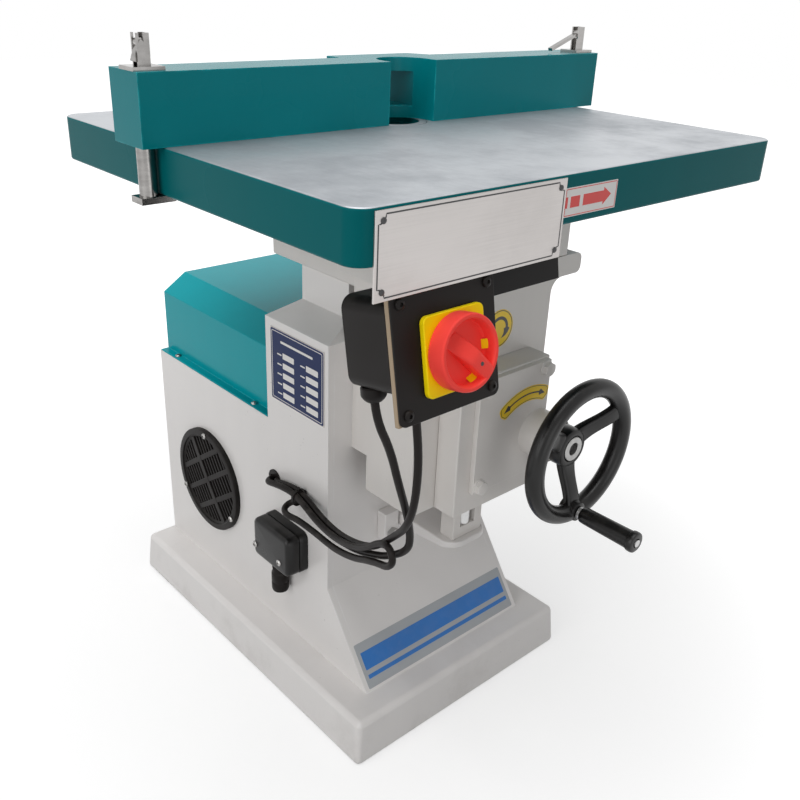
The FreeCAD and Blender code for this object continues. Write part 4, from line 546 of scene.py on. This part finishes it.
def make_table_finish():
    """Cast table: ground bare iron on its top face, teal paint on its edges and underside, parted by height."""
    material, tree, shader = new_finish("ground_iron", **{"Specular IOR Level": 0.04})
    level = add(tree, "SeparateXYZ", {0: object_place(tree)}).outputs["Z"]
    bare = fade(tree, level, BARE_FROM, BARE_FULL)
    paint = place_effect(tree, PAINT, {"Colour": TABLE_TEAL, "Under": PRIMER, "Tone": 0.14, "Grime": 0.0,
                                       "Chips": 0.2, "Gloss": 0.24})
    # The edge mask brightens the teal edges: wear and a painted highlight.
    worn_and_lit = place_effect(tree, EDGE, {"Radius": EDGE_MASK_RADIUS, "Amount": 0.75})["Mask"]
    coat = blend_colour(tree, worn_and_lit, paint["Colour"], TEAL_LIT_EDGE)
    iron = place_effect(tree, METAL, {"Colour": tint(192, 195, 199), "Dull": tint(130, 134, 139),
                                      "Lines": (240.0, 40.0, 40.0), "Streak": 0.2, "Smear": 0.7, "Gloss": 0.42})
    rough, height = (add(tree, "Mix", {0: bare, 2: paint[key], 3: iron[key]}).outputs[0]
                     for key in ("Roughness", "Height"))
    lay_skin(tree, shader, blend_colour(tree, bare, coat, iron["Colour"]), rough, height, PAINT_PEEL)
    fill(tree, shader, {"Metallic": times(tree, bare, 0.9)})
    return material


finishes = make_finishes()


# Camera, light and floor

CAMERA_PLACE = (-0.8022, -0.9987, 1.0074)
CAMERA_AZIMUTH, CAMERA_FALL, CAMERA_ROLL = 42.73, 25.57, 2.44
CAMERA_LENS, CAMERA_SENSOR = 40.55, 36.0
WORLD_LIGHT = 0.3
FLOOR_REACH = 9.0
SHADOW_NEAR, SHADOW_FAR, SHADOW_LIFT = 0.5, 1.5, 0.58


def make_camera():
    """Camera at the photograph's place: ahead from azimuth and fall, then rolled about its own axis."""
    azimuth, fall = math.radians(CAMERA_AZIMUTH), math.radians(CAMERA_FALL)
    ahead = Vector((math.sin(azimuth) * math.cos(fall), math.cos(azimuth) * math.cos(fall), -math.sin(fall)))
    level = ahead.cross(Vector(UP)).normalized()
    right, up = swung(CAMERA_ROLL, level, level.cross(ahead))
    data = bpy.data.cameras.new("camera")
    camera = put("camera", settle(data, {"lens": CAMERA_LENS, "sensor_width": CAMERA_SENSOR}))
    turn = Matrix((right, up, -ahead)).transposed().to_4x4()
    camera.matrix_world = Matrix.Translation(CAMERA_PLACE) @ turn
    bpy.context.scene.camera = camera


def make_lamp(name, place, target, size, power):
    """Square soft lamp aimed at a point."""
    lamp = put(name, settle(bpy.data.lights.new(name, "AREA"), {"size": size, "energy": power}))
    lamp.location = place
    lamp.rotation_euler = (Vector(target) - Vector(place)).to_track_quat("-Z", "Y").to_euler()


def seen_share(tree):
    """One for the rays of the camera, of gloss and of glass, none for the rest."""
    path = add(tree, "LightPath").outputs
    return calc(tree, "MAXIMUM", calc(tree, "MAXIMUM", path["Is Camera Ray"], path["Is Glossy Ray"]),
                path["Is Transmission Ray"])


def make_world():
    """Even grey light; the camera, gloss and glass see it white."""
    world = bpy.data.worlds.new("studio")
    bpy.context.scene.world = world
    world.use_nodes = True
    tree = world.node_tree
    tree.nodes.clear()
    strength = add(tree, "MapRange", {"Value": seen_share(tree), "To Min": WORLD_LIGHT, "To Max": 1.0})
    glow = add(tree, "Background", {"Color": WHITE, "Strength": strength.outputs["Result"]})
    add(tree, "OutputWorld", {0: glow.outputs[0]})


def make_floor():
    """Wide pale floor that keeps the shadow; the camera sees it lifted to white."""
    mesh = bpy.data.meshes.new("floor")
    corners = [(x * FLOOR_REACH, y * FLOOR_REACH, 0.0) for x, y in ((-1, -1), (1, -1), (1, 1), (-1, 1))]
    mesh.from_pydata(corners, [], [(0, 1, 2, 3)])
    floor = put("floor", mesh)
    material, tree, shader = new_finish("floor", **{"Base Color": (0.5, 0.5, 0.5, 1.0), "Roughness": 0.9,
                                                    "Specular IOR Level": 0.0, "Emission Color": WHITE})
    flat = add(tree, "VectorMath", {0: object_place(tree)}, operation="LENGTH").outputs["Value"]
    lift = fade(tree, flat, SHADOW_NEAR, SHADOW_FAR, SHADOW_LIFT)
    fill(tree, shader, {"Emission Strength": times(tree, seen_share(tree), lift)})
    mesh.materials.append(material)


bpy.context.scene.view_settings.view_transform = "Standard"
make_camera()
make_world()
make_lamp("ceiling", (-0.5, -0.1, 5.0), (0.0, 0.0, 0.5), 4.0, 140.0)
make_lamp("window", (-4.0, -0.7, 2.0), (0.0, 0.0, 0.5), 3.0, 62.0)
make_lamp("door", (-0.5, -3.7, 0.9), (0.0, -0.3, 0.5), 1.8, 12.0)
make_floor()


# Cables

SWITCH_ROUTE = [
    (-283.0, -399.9, 628.1), (-283.0, -403.9, 606.5), (-262.1, -402.7, 566.0), (-247.2, -400.8, 520.0),
    (-229.3, -395.9, 477.2), (-213.4, -388.0, 436.4), (-210.3, -383.1, 408.3), (-207.8, -344.9, 378.5),
    (-202.3, -315.0, 362.0), (-195.1, -277.1, 343.1), (-186.1, -229.7, 327.6), (-177.1, -179.3, 322.8),
    (-169.7, -140.0, 327.5), (-166.0, -119.0, 328.5), (-171.0, -103.0, 323.0), (-186.0, -100.0, 317.0),
    (-194.0, -115.0, 315.0), (-190.5, -140.0, 317.5), (-191.0, -181.0, 317.5), (-198.0, -230.0, 322.5),
    (-206.0, -277.1, 338.0), (-212.1, -313.0, 357.0), (-216.0, -338.0, 368.5), (-221.5, -361.0, 378.0),
    (-223.5, -373.0, 393.0), (-221.0, -362.0, 408.0), (-216.0, -338.0, 398.0), (-212.1, -310.5, 373.0),
    (-204.9, -273.4, 352.1), (-195.9, -227.7, 337.2), (-186.9, -179.3, 332.6), (-179.5, -137.2, 337.8),
    (-175.5, -107.5, 339.9), (-176.3, -71.5, 336.0), (-176.3, -35.1, 326.0), (-149.0, -35.1, 326.0)]
SUPPLY_ROUTE = [
    (-246.0, -416.6, 631.2), (-246.0, -420.6, 609.6), (-239.1, -420.8, 559.8), (-238.1, -419.9, 520.1),
    (-236.1, -413.0, 484.6), (-232.1, -398.0, 455.3), (-218.2, -373.3, 430.1), (-207.8, -336.8, 393.3),
    (-202.3, -310.5, 370.7), (-195.1, -273.4, 352.1), (-186.1, -227.7, 337.2), (-177.1, -179.3, 332.6),
    (-169.7, -137.2, 337.8), (-165.7, -107.5, 339.9), (-166.5, -76.9, 336.0), (-166.5, -44.9, 326.0),
    (-149.0, -44.9, 326.0)]
CABLE_THICKNESS = 0.009


def smooth_route(name, route):
    """Points along the smooth spline that takes the route's points as its control points."""
    curve = bpy.data.curves.new(name, "CURVE")
    curve.dimensions = "3D"
    curve.resolution_u = 8
    spline = curve.splines.new("NURBS")
    spline.points.add(len(route) - 1)
    control = np.concatenate([np.array(route) * MM, np.ones((len(route), 1))], axis=1)
    spline.points.foreach_set("co", control.ravel())
    spline.order_u = 3
    spline.use_endpoint_u = True
    holder = bpy.data.objects.new(name, curve)
    line = bpy.data.meshes.new_from_object(holder)
    points = np.empty(len(line.vertices) * 3)
    line.vertices.foreach_get("co", points)
    bpy.data.objects.remove(holder)
    bpy.data.curves.remove(curve)
    bpy.data.meshes.remove(line)
    return points.reshape(-1, 3)


def make_cable(name, route, node):
    """Round cable along its smooth route, in place of the imported cable, which is hidden."""
    points = smooth_route(name + "_line", route)
    cable = make_piece(name, [tube(points, CABLE_THICKNESS / 2)], "cable_rubber", None)
    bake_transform(cable)
    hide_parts(node)


make_cable("switch_lead", SWITCH_ROUTE, "switch_cable")
make_cable("supply_lead", SUPPLY_ROUTE, "supply_cable")


# Carried-over pieces

def shading_nodes():
    """Modifier that joins loose triangles and shades them smooth, but for edges folded past an angle."""
    tree = bpy.data.node_groups.new("smooth_folds", "GeometryNodeTree")
    for way in ("INPUT", "OUTPUT"):
        tree.interface.new_socket("Geometry", in_out=way, socket_type="NodeSocketGeometry")
    given, out = tree.nodes.new("NodeGroupInput"), tree.nodes.new("NodeGroupOutput")
    joined = add(tree, "GeometryNodeMergeByDistance", {"Geometry": given.outputs[0], "Distance": 1e-5}).outputs[0]
    smooth = add(tree, "GeometryNodeSetShadeSmooth", {"Geometry": joined}).outputs[0]
    fold = add(tree, "GeometryNodeInputMeshEdgeAngle").outputs["Unsigned Angle"]
    folded = add(tree, "FunctionNodeCompare", {"A": fold, "B": SOFT_FOLD}, operation="GREATER_THAN").outputs[0]
    sharp = add(tree, "GeometryNodeSetShadeSmooth",
                {"Geometry": smooth, "Selection": folded, "Shade Smooth": False}, domain="EDGE")
    fill(tree, out, {0: sharp.outputs[0]})
    return tree


FOLDS = shading_nodes()
# The motor cover takes the lighter copy of the teal paint: a painted highlight.
OWN_FINISH = {"motor_cover": "hood_teal_lit"}
ROUNDED = {
    "base_plinth": 8.0, "table": 2.5, "fence": 2.5, "motor_cover": 1.0, "knee": 4.0, "gear_case": 5.0,
    "gear_case_cover": 3.0, "column_head": 3.0, "switch_box": 4.0, "switch_backing": 1.0, "switch_panel": 0.8,
    "switch_plate": 2.0, "lift_ledge": 2.0, "stop_lug": 1.5, "screw_block": 2.0, "table_support": 3.0,
    "clamp_plates": 0.6, "name_plate": 0.4, "data_plate": 0.3,
}


def dress_nodes():
    """Each carried-over node takes its slot's finish and smooth shading, and rounded edges where listed."""
    for row in frame["record"]["subparts"]:
        node = nodes[row["node"]]
        node.data.materials.clear()
        node.data.materials.append(finishes[OWN_FINISH.get(row["node"], row["material_slot"])])
        steps = [("smooth_folds", "NODES", {"node_group": FOLDS})]
        if row["node"] in ROUNDED:
            steps += [("whole_flats", "DECIMATE", {"decimate_type": "DISSOLVE", "angle_limit": FLAT_FOLD}),
                      ("rounded_edges", "BEVEL", {"width": ROUNDED[row["node"]] * MM, "segments": 3,
                                                  "limit_method": "ANGLE", "angle_limit": EDGE_FOLD,
                                                  "use_clamp_overlap": True, "harden_normals": False}),
                      ("even_normals", "WEIGHTED_NORMAL", {"keep_sharp": True})]
        for name, kind, settings in steps:
            settle(node.modifiers.new(name, kind), settings)


dress_nodes()


# Handwheel and grip

WHEEL = np.array([60.0, 0.0, 457.0]) * MM
GRIP = np.array([58.534, 0.0, 373.013]) * MM
RIM_RADIUS, RIM_SECTION = 87.75, 12.25
RIM_PLANE, SPOKE_PLANE = -0.4093, -0.389
SPOKE_FOOT, SPOKE_LENGTH = 0.016, 0.06975
HUB_BACK, BUSH_BACK, BORE_SHADE_BACK, BOSS_BACK, GRIP_BACK = -0.378, -0.3902, -0.3937, -0.3975, -0.4281


def wheel_rim():
    """Ring: a circle of the rim's section carried round the rim's radius."""
    angle = angles(24)
    profile = np.stack([RIM_SECTION * np.sin(angle), RIM_RADIUS + RIM_SECTION * np.cos(angle)], axis=1)
    return lathe(profile, WHEEL + RIM_PLANE * BACK, TOWARD, 96, True)


def wheel_spoke(degrees):
    """Spoke: a soft rectangle that slims from hub to rim while its line swings out from hub plane to rim plane."""
    outward, across = swung(degrees, RIGHT, UP)
    way = np.linspace(0.0, 1.0, 20)
    centre = (WHEEL + np.outer(SPOKE_FOOT + way * SPOKE_LENGTH, outward)
              + np.outer(SPOKE_PLANE + ease(way) * (RIM_PLANE - SPOKE_PLANE), BACK))
    half_width = 0.0145 - 0.0025 * np.sin(math.pi * way) - 0.001 * way
    half_depth = 0.0075 - 0.0015 * way
    soft_wide, soft_deep = soft_circle(28)
    return capped(centre[:, None] + (half_width[:, None] * soft_wide)[..., None] * across
                  + (half_depth[:, None] * soft_deep)[..., None] * BACK)


def make_handwheel():
    """Dished three-spoke wheel: rim, spokes, stepped hub round a metal bush, and the boss that carries the grip."""
    hub = [(0, 9.5), (0, 26.5), (1.2, 27), (14, 26.8), (18.5, 25.5), (20.3, 22.5), (20.3, 18.5), (19.2, 17.4),
           (12, 17.2), (12, 9.5)]
    boss = [(0, 0), (0, 12.5), (4, 14.2), (18, 14.2), (23.5, 12.8), (24.5, 11.2), (24.5, 0)]
    parts = [wheel_rim()] + [wheel_spoke(angle) for angle in (29, 149, 269)]
    parts.append(lathe(hub, WHEEL + HUB_BACK * BACK, TOWARD, 56, True))
    parts.append(lathe(boss, GRIP + BOSS_BACK * BACK, TOWARD, 40))
    make_piece("wheel_casting", parts, "wheel_plastic", "handwheel", replaces=["handwheel"])
    bush = [(0, 0), (0, 16.8), (8.5, 16.8), (9.3, 16), (9.3, 9.2), (8.5, 8.4), (3.5, 8.2), (3.5, 0)]
    make_piece("hub_bush", [lathe(bush, WHEEL + BUSH_BACK * BACK, TOWARD, 48)], "turned_face", "handwheel",
               ["hub_insert"])
    # Black disc at the floor of the bush's shallow recess: painted shade for a deep bore.
    eye = [(0, 0), (0, 7.9), (0.3, 7.9), (0.3, 0)]
    make_piece("hub_bore_shade", [lathe(eye, WHEEL + BORE_SHADE_BACK * BACK, TOWARD, 32)], "label_black", "handwheel")


def make_grip():
    """Turned grip: a shaft that swells a little, a groove, and a flanged end with a sunk eye."""
    profile = [(0, 0), (0, 6.5), (0, 9.8), (1.5, 10.8), (6, 11.2), (30, 11.6), (55, 11.9), (70, 12.2), (74.5, 12.4),
               (75.5, 13.6), (77, 14), (81.5, 14), (83.2, 13.4), (84, 12.2), (84, 6.2), (79.5, 5.8), (79.5, 0)]
    make_piece("crank_handle", [lathe(profile, GRIP + GRIP_BACK * BACK, TOWARD, 40)], "wheel_plastic", "crank_grip",
               replaces=["crank_grip"])


make_handwheel()
make_grip()


# Switch

PANEL_LEAN, BAR_LEAN = 10.5, 47
PANEL_UP, PANEL_IN = swung(PANEL_LEAN, UP, BACK)
PANEL_OUT = -PANEL_IN
PANEL_MIDDLE = np.array([-235.5, -448.98, 687.06]) * MM
KNOB_MIDDLE = np.array([-230.5, -449.53, 684.11]) * MM
KNOB_FOOT = KNOB_MIDDLE + 0.0063 * PANEL_OUT
KNOB_FACE = 0.0204
BAR_ALONG, BAR_ACROSS = swung(-BAR_LEAN, RIGHT, PANEL_UP)
BAR_START, BAR_LENGTH, BAR_FOOT, BAR_LOW, BAR_HIGH = -0.021, 0.0565, 0.004, 0.0068, 0.0206
WINDOW_OUT, WINDOW_REACH, EYE_REACH = 0.0078, 0.0296, 0.0178


def knob_bar():
    """Grip bar: a soft rectangle from upper left to lower right; its top climbs from the cup's floor to the rim."""
    way = np.linspace(0.0, 1.0, 33)
    top = BAR_LOW + (BAR_HIGH - BAR_LOW) * ease(np.clip(way / 0.55, 0.0, 1.0))
    half_width = (0.0098 - 0.0014 * way) * round_ends(2.0 * way - 1.0, 0.88, 0.05)
    soft_wide, soft_high = soft_circle(32)
    out = (top + BAR_FOOT)[:, None] / 2 + (top - BAR_FOOT)[:, None] / 2 * soft_high
    return capped(KNOB_FOOT + (BAR_START + BAR_LENGTH * way)[:, None, None] * BAR_ALONG
                  + (half_width[:, None] * soft_wide)[..., None] * BAR_ACROSS + out[..., None] * PANEL_OUT)


def make_knob():
    """Round knob: a cup with a rolled rim, a grip bar across it, and small windows at the foot of its wall."""
    cup = [(-6, 0), (-6, 6), (0, 6), (0, 36.6), (1, 37.8), (4, 38), (16.5, 37.8), (18.8, 37.4), (19.8, 36.4),
           (20, 35), (19.8, 33.6), (18.8, 32.6), (16.5, 32), (7.5, 31.5), (6, 30), (6, 0)]
    make_piece("knob_cup", [lathe(cup, KNOB_FOOT, PANEL_OUT, 72), knob_bar()], "red_plastic", "switch_knob",
               replaces=["switch_knob"])
    windows = []
    for degrees in (2, -72):
        outward, around = swung(degrees, RIGHT, PANEL_UP)
        place = KNOB_FOOT + WINDOW_OUT * PANEL_OUT + WINDOW_REACH * outward
        slope = (place, -around, outward + PANEL_OUT)
        windows.append(patch(rounded_outline(0.0095, 0.0075, 0.001), slope, 0.0006))
    make_piece("knob_windows", windows, "yellow_plastic", "switch_knob")
    eye = lathe([(0, 0), (0, 2.1), (0.4, 2.1), (0.4, 0)],
                KNOB_FOOT + KNOB_FACE * PANEL_OUT + EYE_REACH * BAR_ALONG, PANEL_OUT, 20)
    make_piece("knob_eye", [eye], "label_black", "switch_knob")


def make_glands():
    """Cable glands under the switch box: a ribbed body that domes down to the cable."""
    profile = [(0, 0), (0, 11.8), (1.5, 13), (8.5, 13.2), (10.5, 12.6), (13.5, 10.5), (15.8, 7.8), (17, 5.2),
               (17, 0)]
    parts = [lathe(profile, np.array(route[0]) * MM + 0.014 * PANEL_UP, -PANEL_UP, 36)
             for route in (SWITCH_ROUTE, SUPPLY_ROUTE)]
    make_piece("gland_domes", parts, "vent_plastic", "rising_table", replaces=["switch_glands"])


def make_panel_screws():
    """Four black domed screws at the panel's corners."""
    feet = [PANEL_MIDDLE + x * RIGHT + z * PANEL_UP for x in (-0.056, 0.056) for z in (-0.0525, 0.0525)]
    make_piece("panel_screw_heads", [screw_dome(foot, PANEL_OUT, 5.5, 3.5) for foot in feet], "vent_plastic",
               "rising_table", replaces=["panel_screws"])


make_knob()
make_panel_screws()
make_glands()


# Bolts, screws and rivets

BOLT_FLATS = 0.017


def make_bolts():
    """Hexagon heads on the gear case cover and the stop, the cover's each on its washer face."""
    washer = [(0, 0), (0, 10.8), (1.2, 10.8), (1.6, 10.2), (1.6, 0)]
    heads = []
    for x in (-0.043, 0.0695):
        for z in (0.408, 0.546):
            heads.append(lathe(washer, (x, -0.333, z), TOWARD, 32))
            heads.append(hex_head((x, -0.3345, z), TOWARD, BOLT_FLATS, 0.0075))
    make_piece("cover_bolt_heads", heads, "knee_paint", "rising_table", replaces=["cover_bolts"])
    make_piece("stop_bolt_head", [hex_head((-0.055, -0.184, 0.263), TOWARD, BOLT_FLATS, 0.009)], "machined_steel",
               "frame", replaces=["stop_bolt"])


def make_small_screws():
    """Bright cross-head screws of the hood, the vent and the junction box, and the name plate's rivets."""
    places = [((x, y, 0.422), UP) for x in (-0.1515, 0.1515) for y in (0.021, 0.244)]
    places += [((-0.167, y, z), LEFT) for y, z in ((0.148, 0.319), (0.0779, 0.1975), (0.2181, 0.1975))]
    places += [((-0.195, y, 0.224), LEFT) for y in (-0.098, -0.037)]
    make_piece("small_screw_heads", [screw_dome(foot, axis, 5.0, 3.0) for foot, axis in places], "bright_plate",
               "frame", replaces=["casing_screws"])
    rivets = [screw_dome((x, -0.442, z), TOWARD, 3.0, 1.5, 0.25, 0.15)
              for x in (-0.315, -0.083) for z in (0.755, 0.818)]
    make_piece("plate_rivets", rivets, "plate_ink", "rising_table", ["name_plate_rivets"])


make_bolts()
make_small_screws()


# Screw thread

SCREW_LOW, SCREW_HIGH, SCREW_PITCH, SCREW_Y = 0.294, 0.593, 0.006, -0.268
THREAD_LOW, THREAD_HIGH = 0.3285, 0.5905
PLAIN_RADIUS, THREAD_RADIUS, THREAD_DEPTH, THREAD_BLUNT = 0.0118, 0.0109, 0.0010, 1.6


def make_screw_thread():
    """Lead screw: its radius is a blunt wave of height / pitch less angle / turn, so the thread winds up."""
    rows = int((SCREW_HIGH - SCREW_LOW) / SCREW_PITCH * 10) + 1
    height, angle = np.meshgrid(np.linspace(SCREW_LOW, SCREW_HIGH, rows), angles(36), indexing="ij")
    wave = np.clip(THREAD_BLUNT * np.sin(TURN * height / SCREW_PITCH - angle), -1.0, 1.0)
    plain = (height < THREAD_LOW) | (height > THREAD_HIGH)
    radius = np.where(plain, PLAIN_RADIUS, THREAD_RADIUS + THREAD_DEPTH * wave)
    rings = np.stack([radius * np.cos(angle), SCREW_Y + radius * np.sin(angle), height], axis=-1)
    make_piece("lift_screw", [capped(rings)], "machined_steel", "frame", replaces=["lead_screw"])


make_screw_thread()


# Vent

VENT_LEAN = 35
VENT_MIDDLE = np.array([-0.159, 0.148, 0.238])
VENT_REACH, SLAT_STEP = 0.0745, 0.0093


def vent_bar(offset, along, width, proud):
    """Bar across the vent: a soft rectangle carried along a line whose height bows like a shallow dome."""
    half = math.sqrt(VENT_REACH ** 2 - offset @ offset)
    line = VENT_MIDDLE + offset + np.linspace(-half, half, 13)[:, None] * along
    across = np.cross(along, RIGHT)
    top = proud + 0.0014 * (1.0 - (np.linalg.norm(line - VENT_MIDDLE, axis=1) / VENT_REACH) ** 2)
    foot, shoulder, brow = 0.0005 + 0 * top, top - 0.0006, width / 2 - 0.0007
    corners = [(-width / 2, foot), (-width / 2, shoulder), (-brow, top), (brow, top), (width / 2, shoulder),
               (width / 2, foot)]
    return capped(np.stack([line + side * across + np.outer(out, LEFT) for side, out in corners], axis=1))


def make_vent():
    """Vent: a flanged ring round a low dome of fine slats, with one bar along and three across, turned as one."""
    ring = [(0, 73.5), (0, 88), (6.4, 88), (7.6, 87.2), (8, 86), (8.1, 78.4), (7.4, 77.4), (5.8, 77), (5.4, 75.2),
            (4, 73.5)]
    along, across = swung(VENT_LEAN, UP, BACK)
    parts = [lathe(ring, VENT_MIDDLE, LEFT, 72, True)]
    parts += [vent_bar(place * across, along, 0.0036, 0.0042) for place in np.arange(7, -8, -1) * SLAT_STEP]
    parts.append(vent_bar(0.0 * across, along, 0.009, 0.0062))
    parts += [vent_bar(level * along, -across, 0.0085, 0.0058) for level in (-0.037, 0.0, 0.037)]
    make_piece("vent_guard", parts, "vent_plastic", "frame", replaces=["vent_grille"])


make_vent()


# Junction box and cable tie

def make_junction_box():
    """Junction box: a shallow back, a groove and a deep lid with a wide bevel, over a nut and a ribbed entry."""
    rows = [(0, 0), (12.2, 0), (13.6, 0.6), (14.1, 2.2), (15.5, 2.4), (16, 1.2), (17, 0.8), (29.6, 1.2),
            (32.2, 1.8), (34.6, 3.6), (35.7, 5.6), (36, 8.5)]
    shell = soft_block(0.090, 0.067, 0.0105, rows, ((-0.159, -0.075, 0.2375), TOWARD, UP))
    make_piece("junction_shell", [shell], "wheel_plastic", "frame",
               ["junction_box", "junction_lid"])
    top = (-0.173, -0.068, 0.204)
    cap = [(12, 0), (12, 11.2), (20, 11.5), (22, 12.9), (24, 13.2), (36, 13.2), (37.5, 12.4), (39, 13.2), (50, 13),
           (53.2, 12), (54, 10.8), (54, 7.8), (51, 7.2), (51, 0)]
    make_piece("junction_entry", [hex_head(top, DOWN, 0.0235, 0.014), lathe(cap, top, DOWN, 36)], "vent_plastic",
               "frame", replaces=["junction_gland"])


def make_tie():
    """Cable tie: a flat strap carried round the bundle as a rounded loop, with its small lock."""
    middle = np.array([-0.1714, -0.116, 0.335])
    strap = loop_band(rounded_outline(0.0222, 0.0222, 0.008), 0.0007, (middle + 0.00225 * BACK, RIGHT, UP), 0.0045)
    lock = patch(rounded_outline(0.005, 0.006, 0.001), (middle + (0.0, 0.0026, 0.0118), RIGHT, UP), 0.0052)
    make_piece("tie_strap", [strap, lock], "vent_plastic", "frame", replaces=["cable_tie"])


make_junction_box()
make_tie()


# Labels and plates

LABEL, INK, PLATE_FACE, PLATE_LINE = 0.0003, 0.0001, 0.0002, 0.00012


def ink_block(width, height, corner, place, plane):
    """Small printed block: a rounded rectangle about its place on a plane, as thin as ink."""
    return patch(rounded_outline(width, height, corner) + place, plane, INK, place, INK / 2)


def make_feed_label():
    """White label on the table's front edge: a thin red border, an arrow to the right and two dashes."""
    plane = ((-0.0295, -0.440, 0.8008), RIGHT, UP)
    make_piece("feed_label", [patch(rounded_outline(0.087, 0.030, 0.001), plane, LABEL)], "label_white",
               "rising_table")
    face = raised(plane, LABEL)
    arrow = [(-0.0135, -0.0058), (0.0205, -0.0058), (0.0205, -0.0092), (0.0337, 0.0008), (0.0205, 0.0095),
             (0.0205, 0.0058), (-0.0135, 0.0058)]
    parts = [loop_band(rounded_outline(0.084, 0.027, 0.0008), 0.0004, face, INK),
             patch(arrow, face, INK, (0.0225, 0.0), INK / 2)]
    parts += [ink_block(width, 0.0115, 0.0003, (middle, 0.0), face)
              for middle, width in ((-0.0265, 0.0150), (-0.0400, 0.0030))]
    make_piece("feed_arrow", parts, "label_red", "rising_table")


def arc_line(radius, start, end, steps=40):
    """Points on a circle about the origin from one angle to another, in degrees."""
    angle = np.radians(np.linspace(start, end, steps))
    return radius * np.stack([np.cos(angle), np.sin(angle)], axis=1)


def make_turn_label():
    """Curved yellow label over the wheel's boss, with a bent arrow that points both ways."""
    plane, radius = ((0.040, -0.333, 0.440), RIGHT, UP), 0.077
    share = np.linspace(-1.0, 1.0, 40)
    ends = round_ends(share, 0.86, 0.02)
    make_piece("turn_label", [ribbon(arc_line(radius, 132, 61), 0.0105 * ends, plane, LABEL)], "label_yellow",
               "rising_table")
    face = raised(plane, LABEL)
    reach = np.abs(share)
    arrow = np.where(reach < 0.72, 0.0011, 0.0045 * np.clip((1.0 - reach) / 0.26, 0.03, 1.0))
    line = arc_line(radius, 130.5, 62.5)
    across = sideways(unit(np.gradient(line, axis=0)), 0.0088 * ends)
    border = np.concatenate([line + across, (line - across)[::-1]])
    parts = [ribbon(arc_line(radius, 127, 66), arrow, face, INK), loop_band(border, 0.0004, face, INK)]
    make_piece("turn_arrow", parts, "label_black", "rising_table")


def make_round_label():
    """Round yellow label on the knee, with a dark ring and a bent arrow."""
    plane = ((0.021, -0.288, 0.597), RIGHT, UP)
    disc, ring = (arc_line(radius, 0, 360, 65)[:-1] for radius in (0.026, 0.0243))
    make_piece("round_label", [patch(disc, plane, LABEL)], "label_yellow", "rising_table")
    face = raised(plane, LABEL)
    share = np.linspace(0.0, 1.0, 40)
    arrow = np.where(share < 0.75, 0.0022, 0.006 * np.clip((1.0 - share) / 0.25, 0.03, 1.0))
    parts = [loop_band(ring, 0.0006, face, INK), ribbon(arc_line(0.0145, 200, -70), arrow, face, INK)]
    make_piece("round_arrow", parts, "label_black", "rising_table")


def make_skirt_strip():
    """Plain strip across the skirt's slope, with one broad and one fine stripe."""
    low, high = np.array([0.0, -0.259, 0.070]), np.array([0.0, -0.166, 0.200])
    up = unit(high - low)
    plane = (low + up * 0.037, RIGHT, up)
    make_piece("skirt_strip", [patch(rounded_outline(0.304, 0.066, 0.002), plane, LABEL)], "strip_grey", "frame")
    face = raised(plane, LABEL)
    parts = [ink_block(0.292, height, 0.001, (0.0, middle), face)
             for middle, height in ((0.006, 0.026), (-0.017, 0.006))]
    make_piece("skirt_stripes", parts, "strip_blue", "frame")


def make_name_plate_border():
    """Dark line round the name plate that bends inward round each rivet."""
    plane = ((-0.199, -0.442, 0.7865), RIGHT, UP)
    half_x, half_z, hollow = 0.1215, 0.0370, 0.0085
    quarter = np.linspace(0.0, math.pi / 2, 8)
    corners = []
    for side, level, start in ((1, 1, -math.pi / 2), (-1, 1, 0.0), (-1, -1, math.pi / 2), (1, -1, math.pi)):
        bend = np.stack([np.cos(start - quarter), np.sin(start - quarter)], axis=1)
        corners.append((side * half_x, level * half_z) + hollow * bend)
    make_piece("name_plate_line", [loop_band(np.concatenate(corners), 0.0007, plane, PLATE_LINE)], "plate_ink",
               "rising_table")


def make_data_plate_fields():
    """Blue face of the data plate with a thin pale border, a head line and two columns of blank fields."""
    plane = ((-0.160, -0.098, 0.5115), TOWARD, UP)
    make_piece("data_plate_face", [patch(rounded_outline(0.118, 0.105, 0.003), plane, PLATE_FACE)], "label_blue",
               "frame")
    face = raised(plane, PLATE_FACE)
    parts = [loop_band(rounded_outline(0.112, 0.099, 0.002), 0.0005, face, INK)]
    for row in range(5):
        for column in (-1.0, 1.0):
            place = np.array([column * 0.0265 + 0.008, 0.018 - row * 0.0145])
            parts.append(ink_block(0.026, 0.0085, 0.001, place, face))
            parts.append(ink_block(0.010, 0.002, 0.0006, place - (0.0205, 0.0), face))
    parts.append(ink_block(0.072, 0.0035, 0.001, (0.0, 0.037), face))
    make_piece("data_plate_fields", parts, "label_white", "frame")


make_feed_label()
make_turn_label()
make_round_label()
make_skirt_strip()
make_name_plate_border()
make_data_plate_fields()
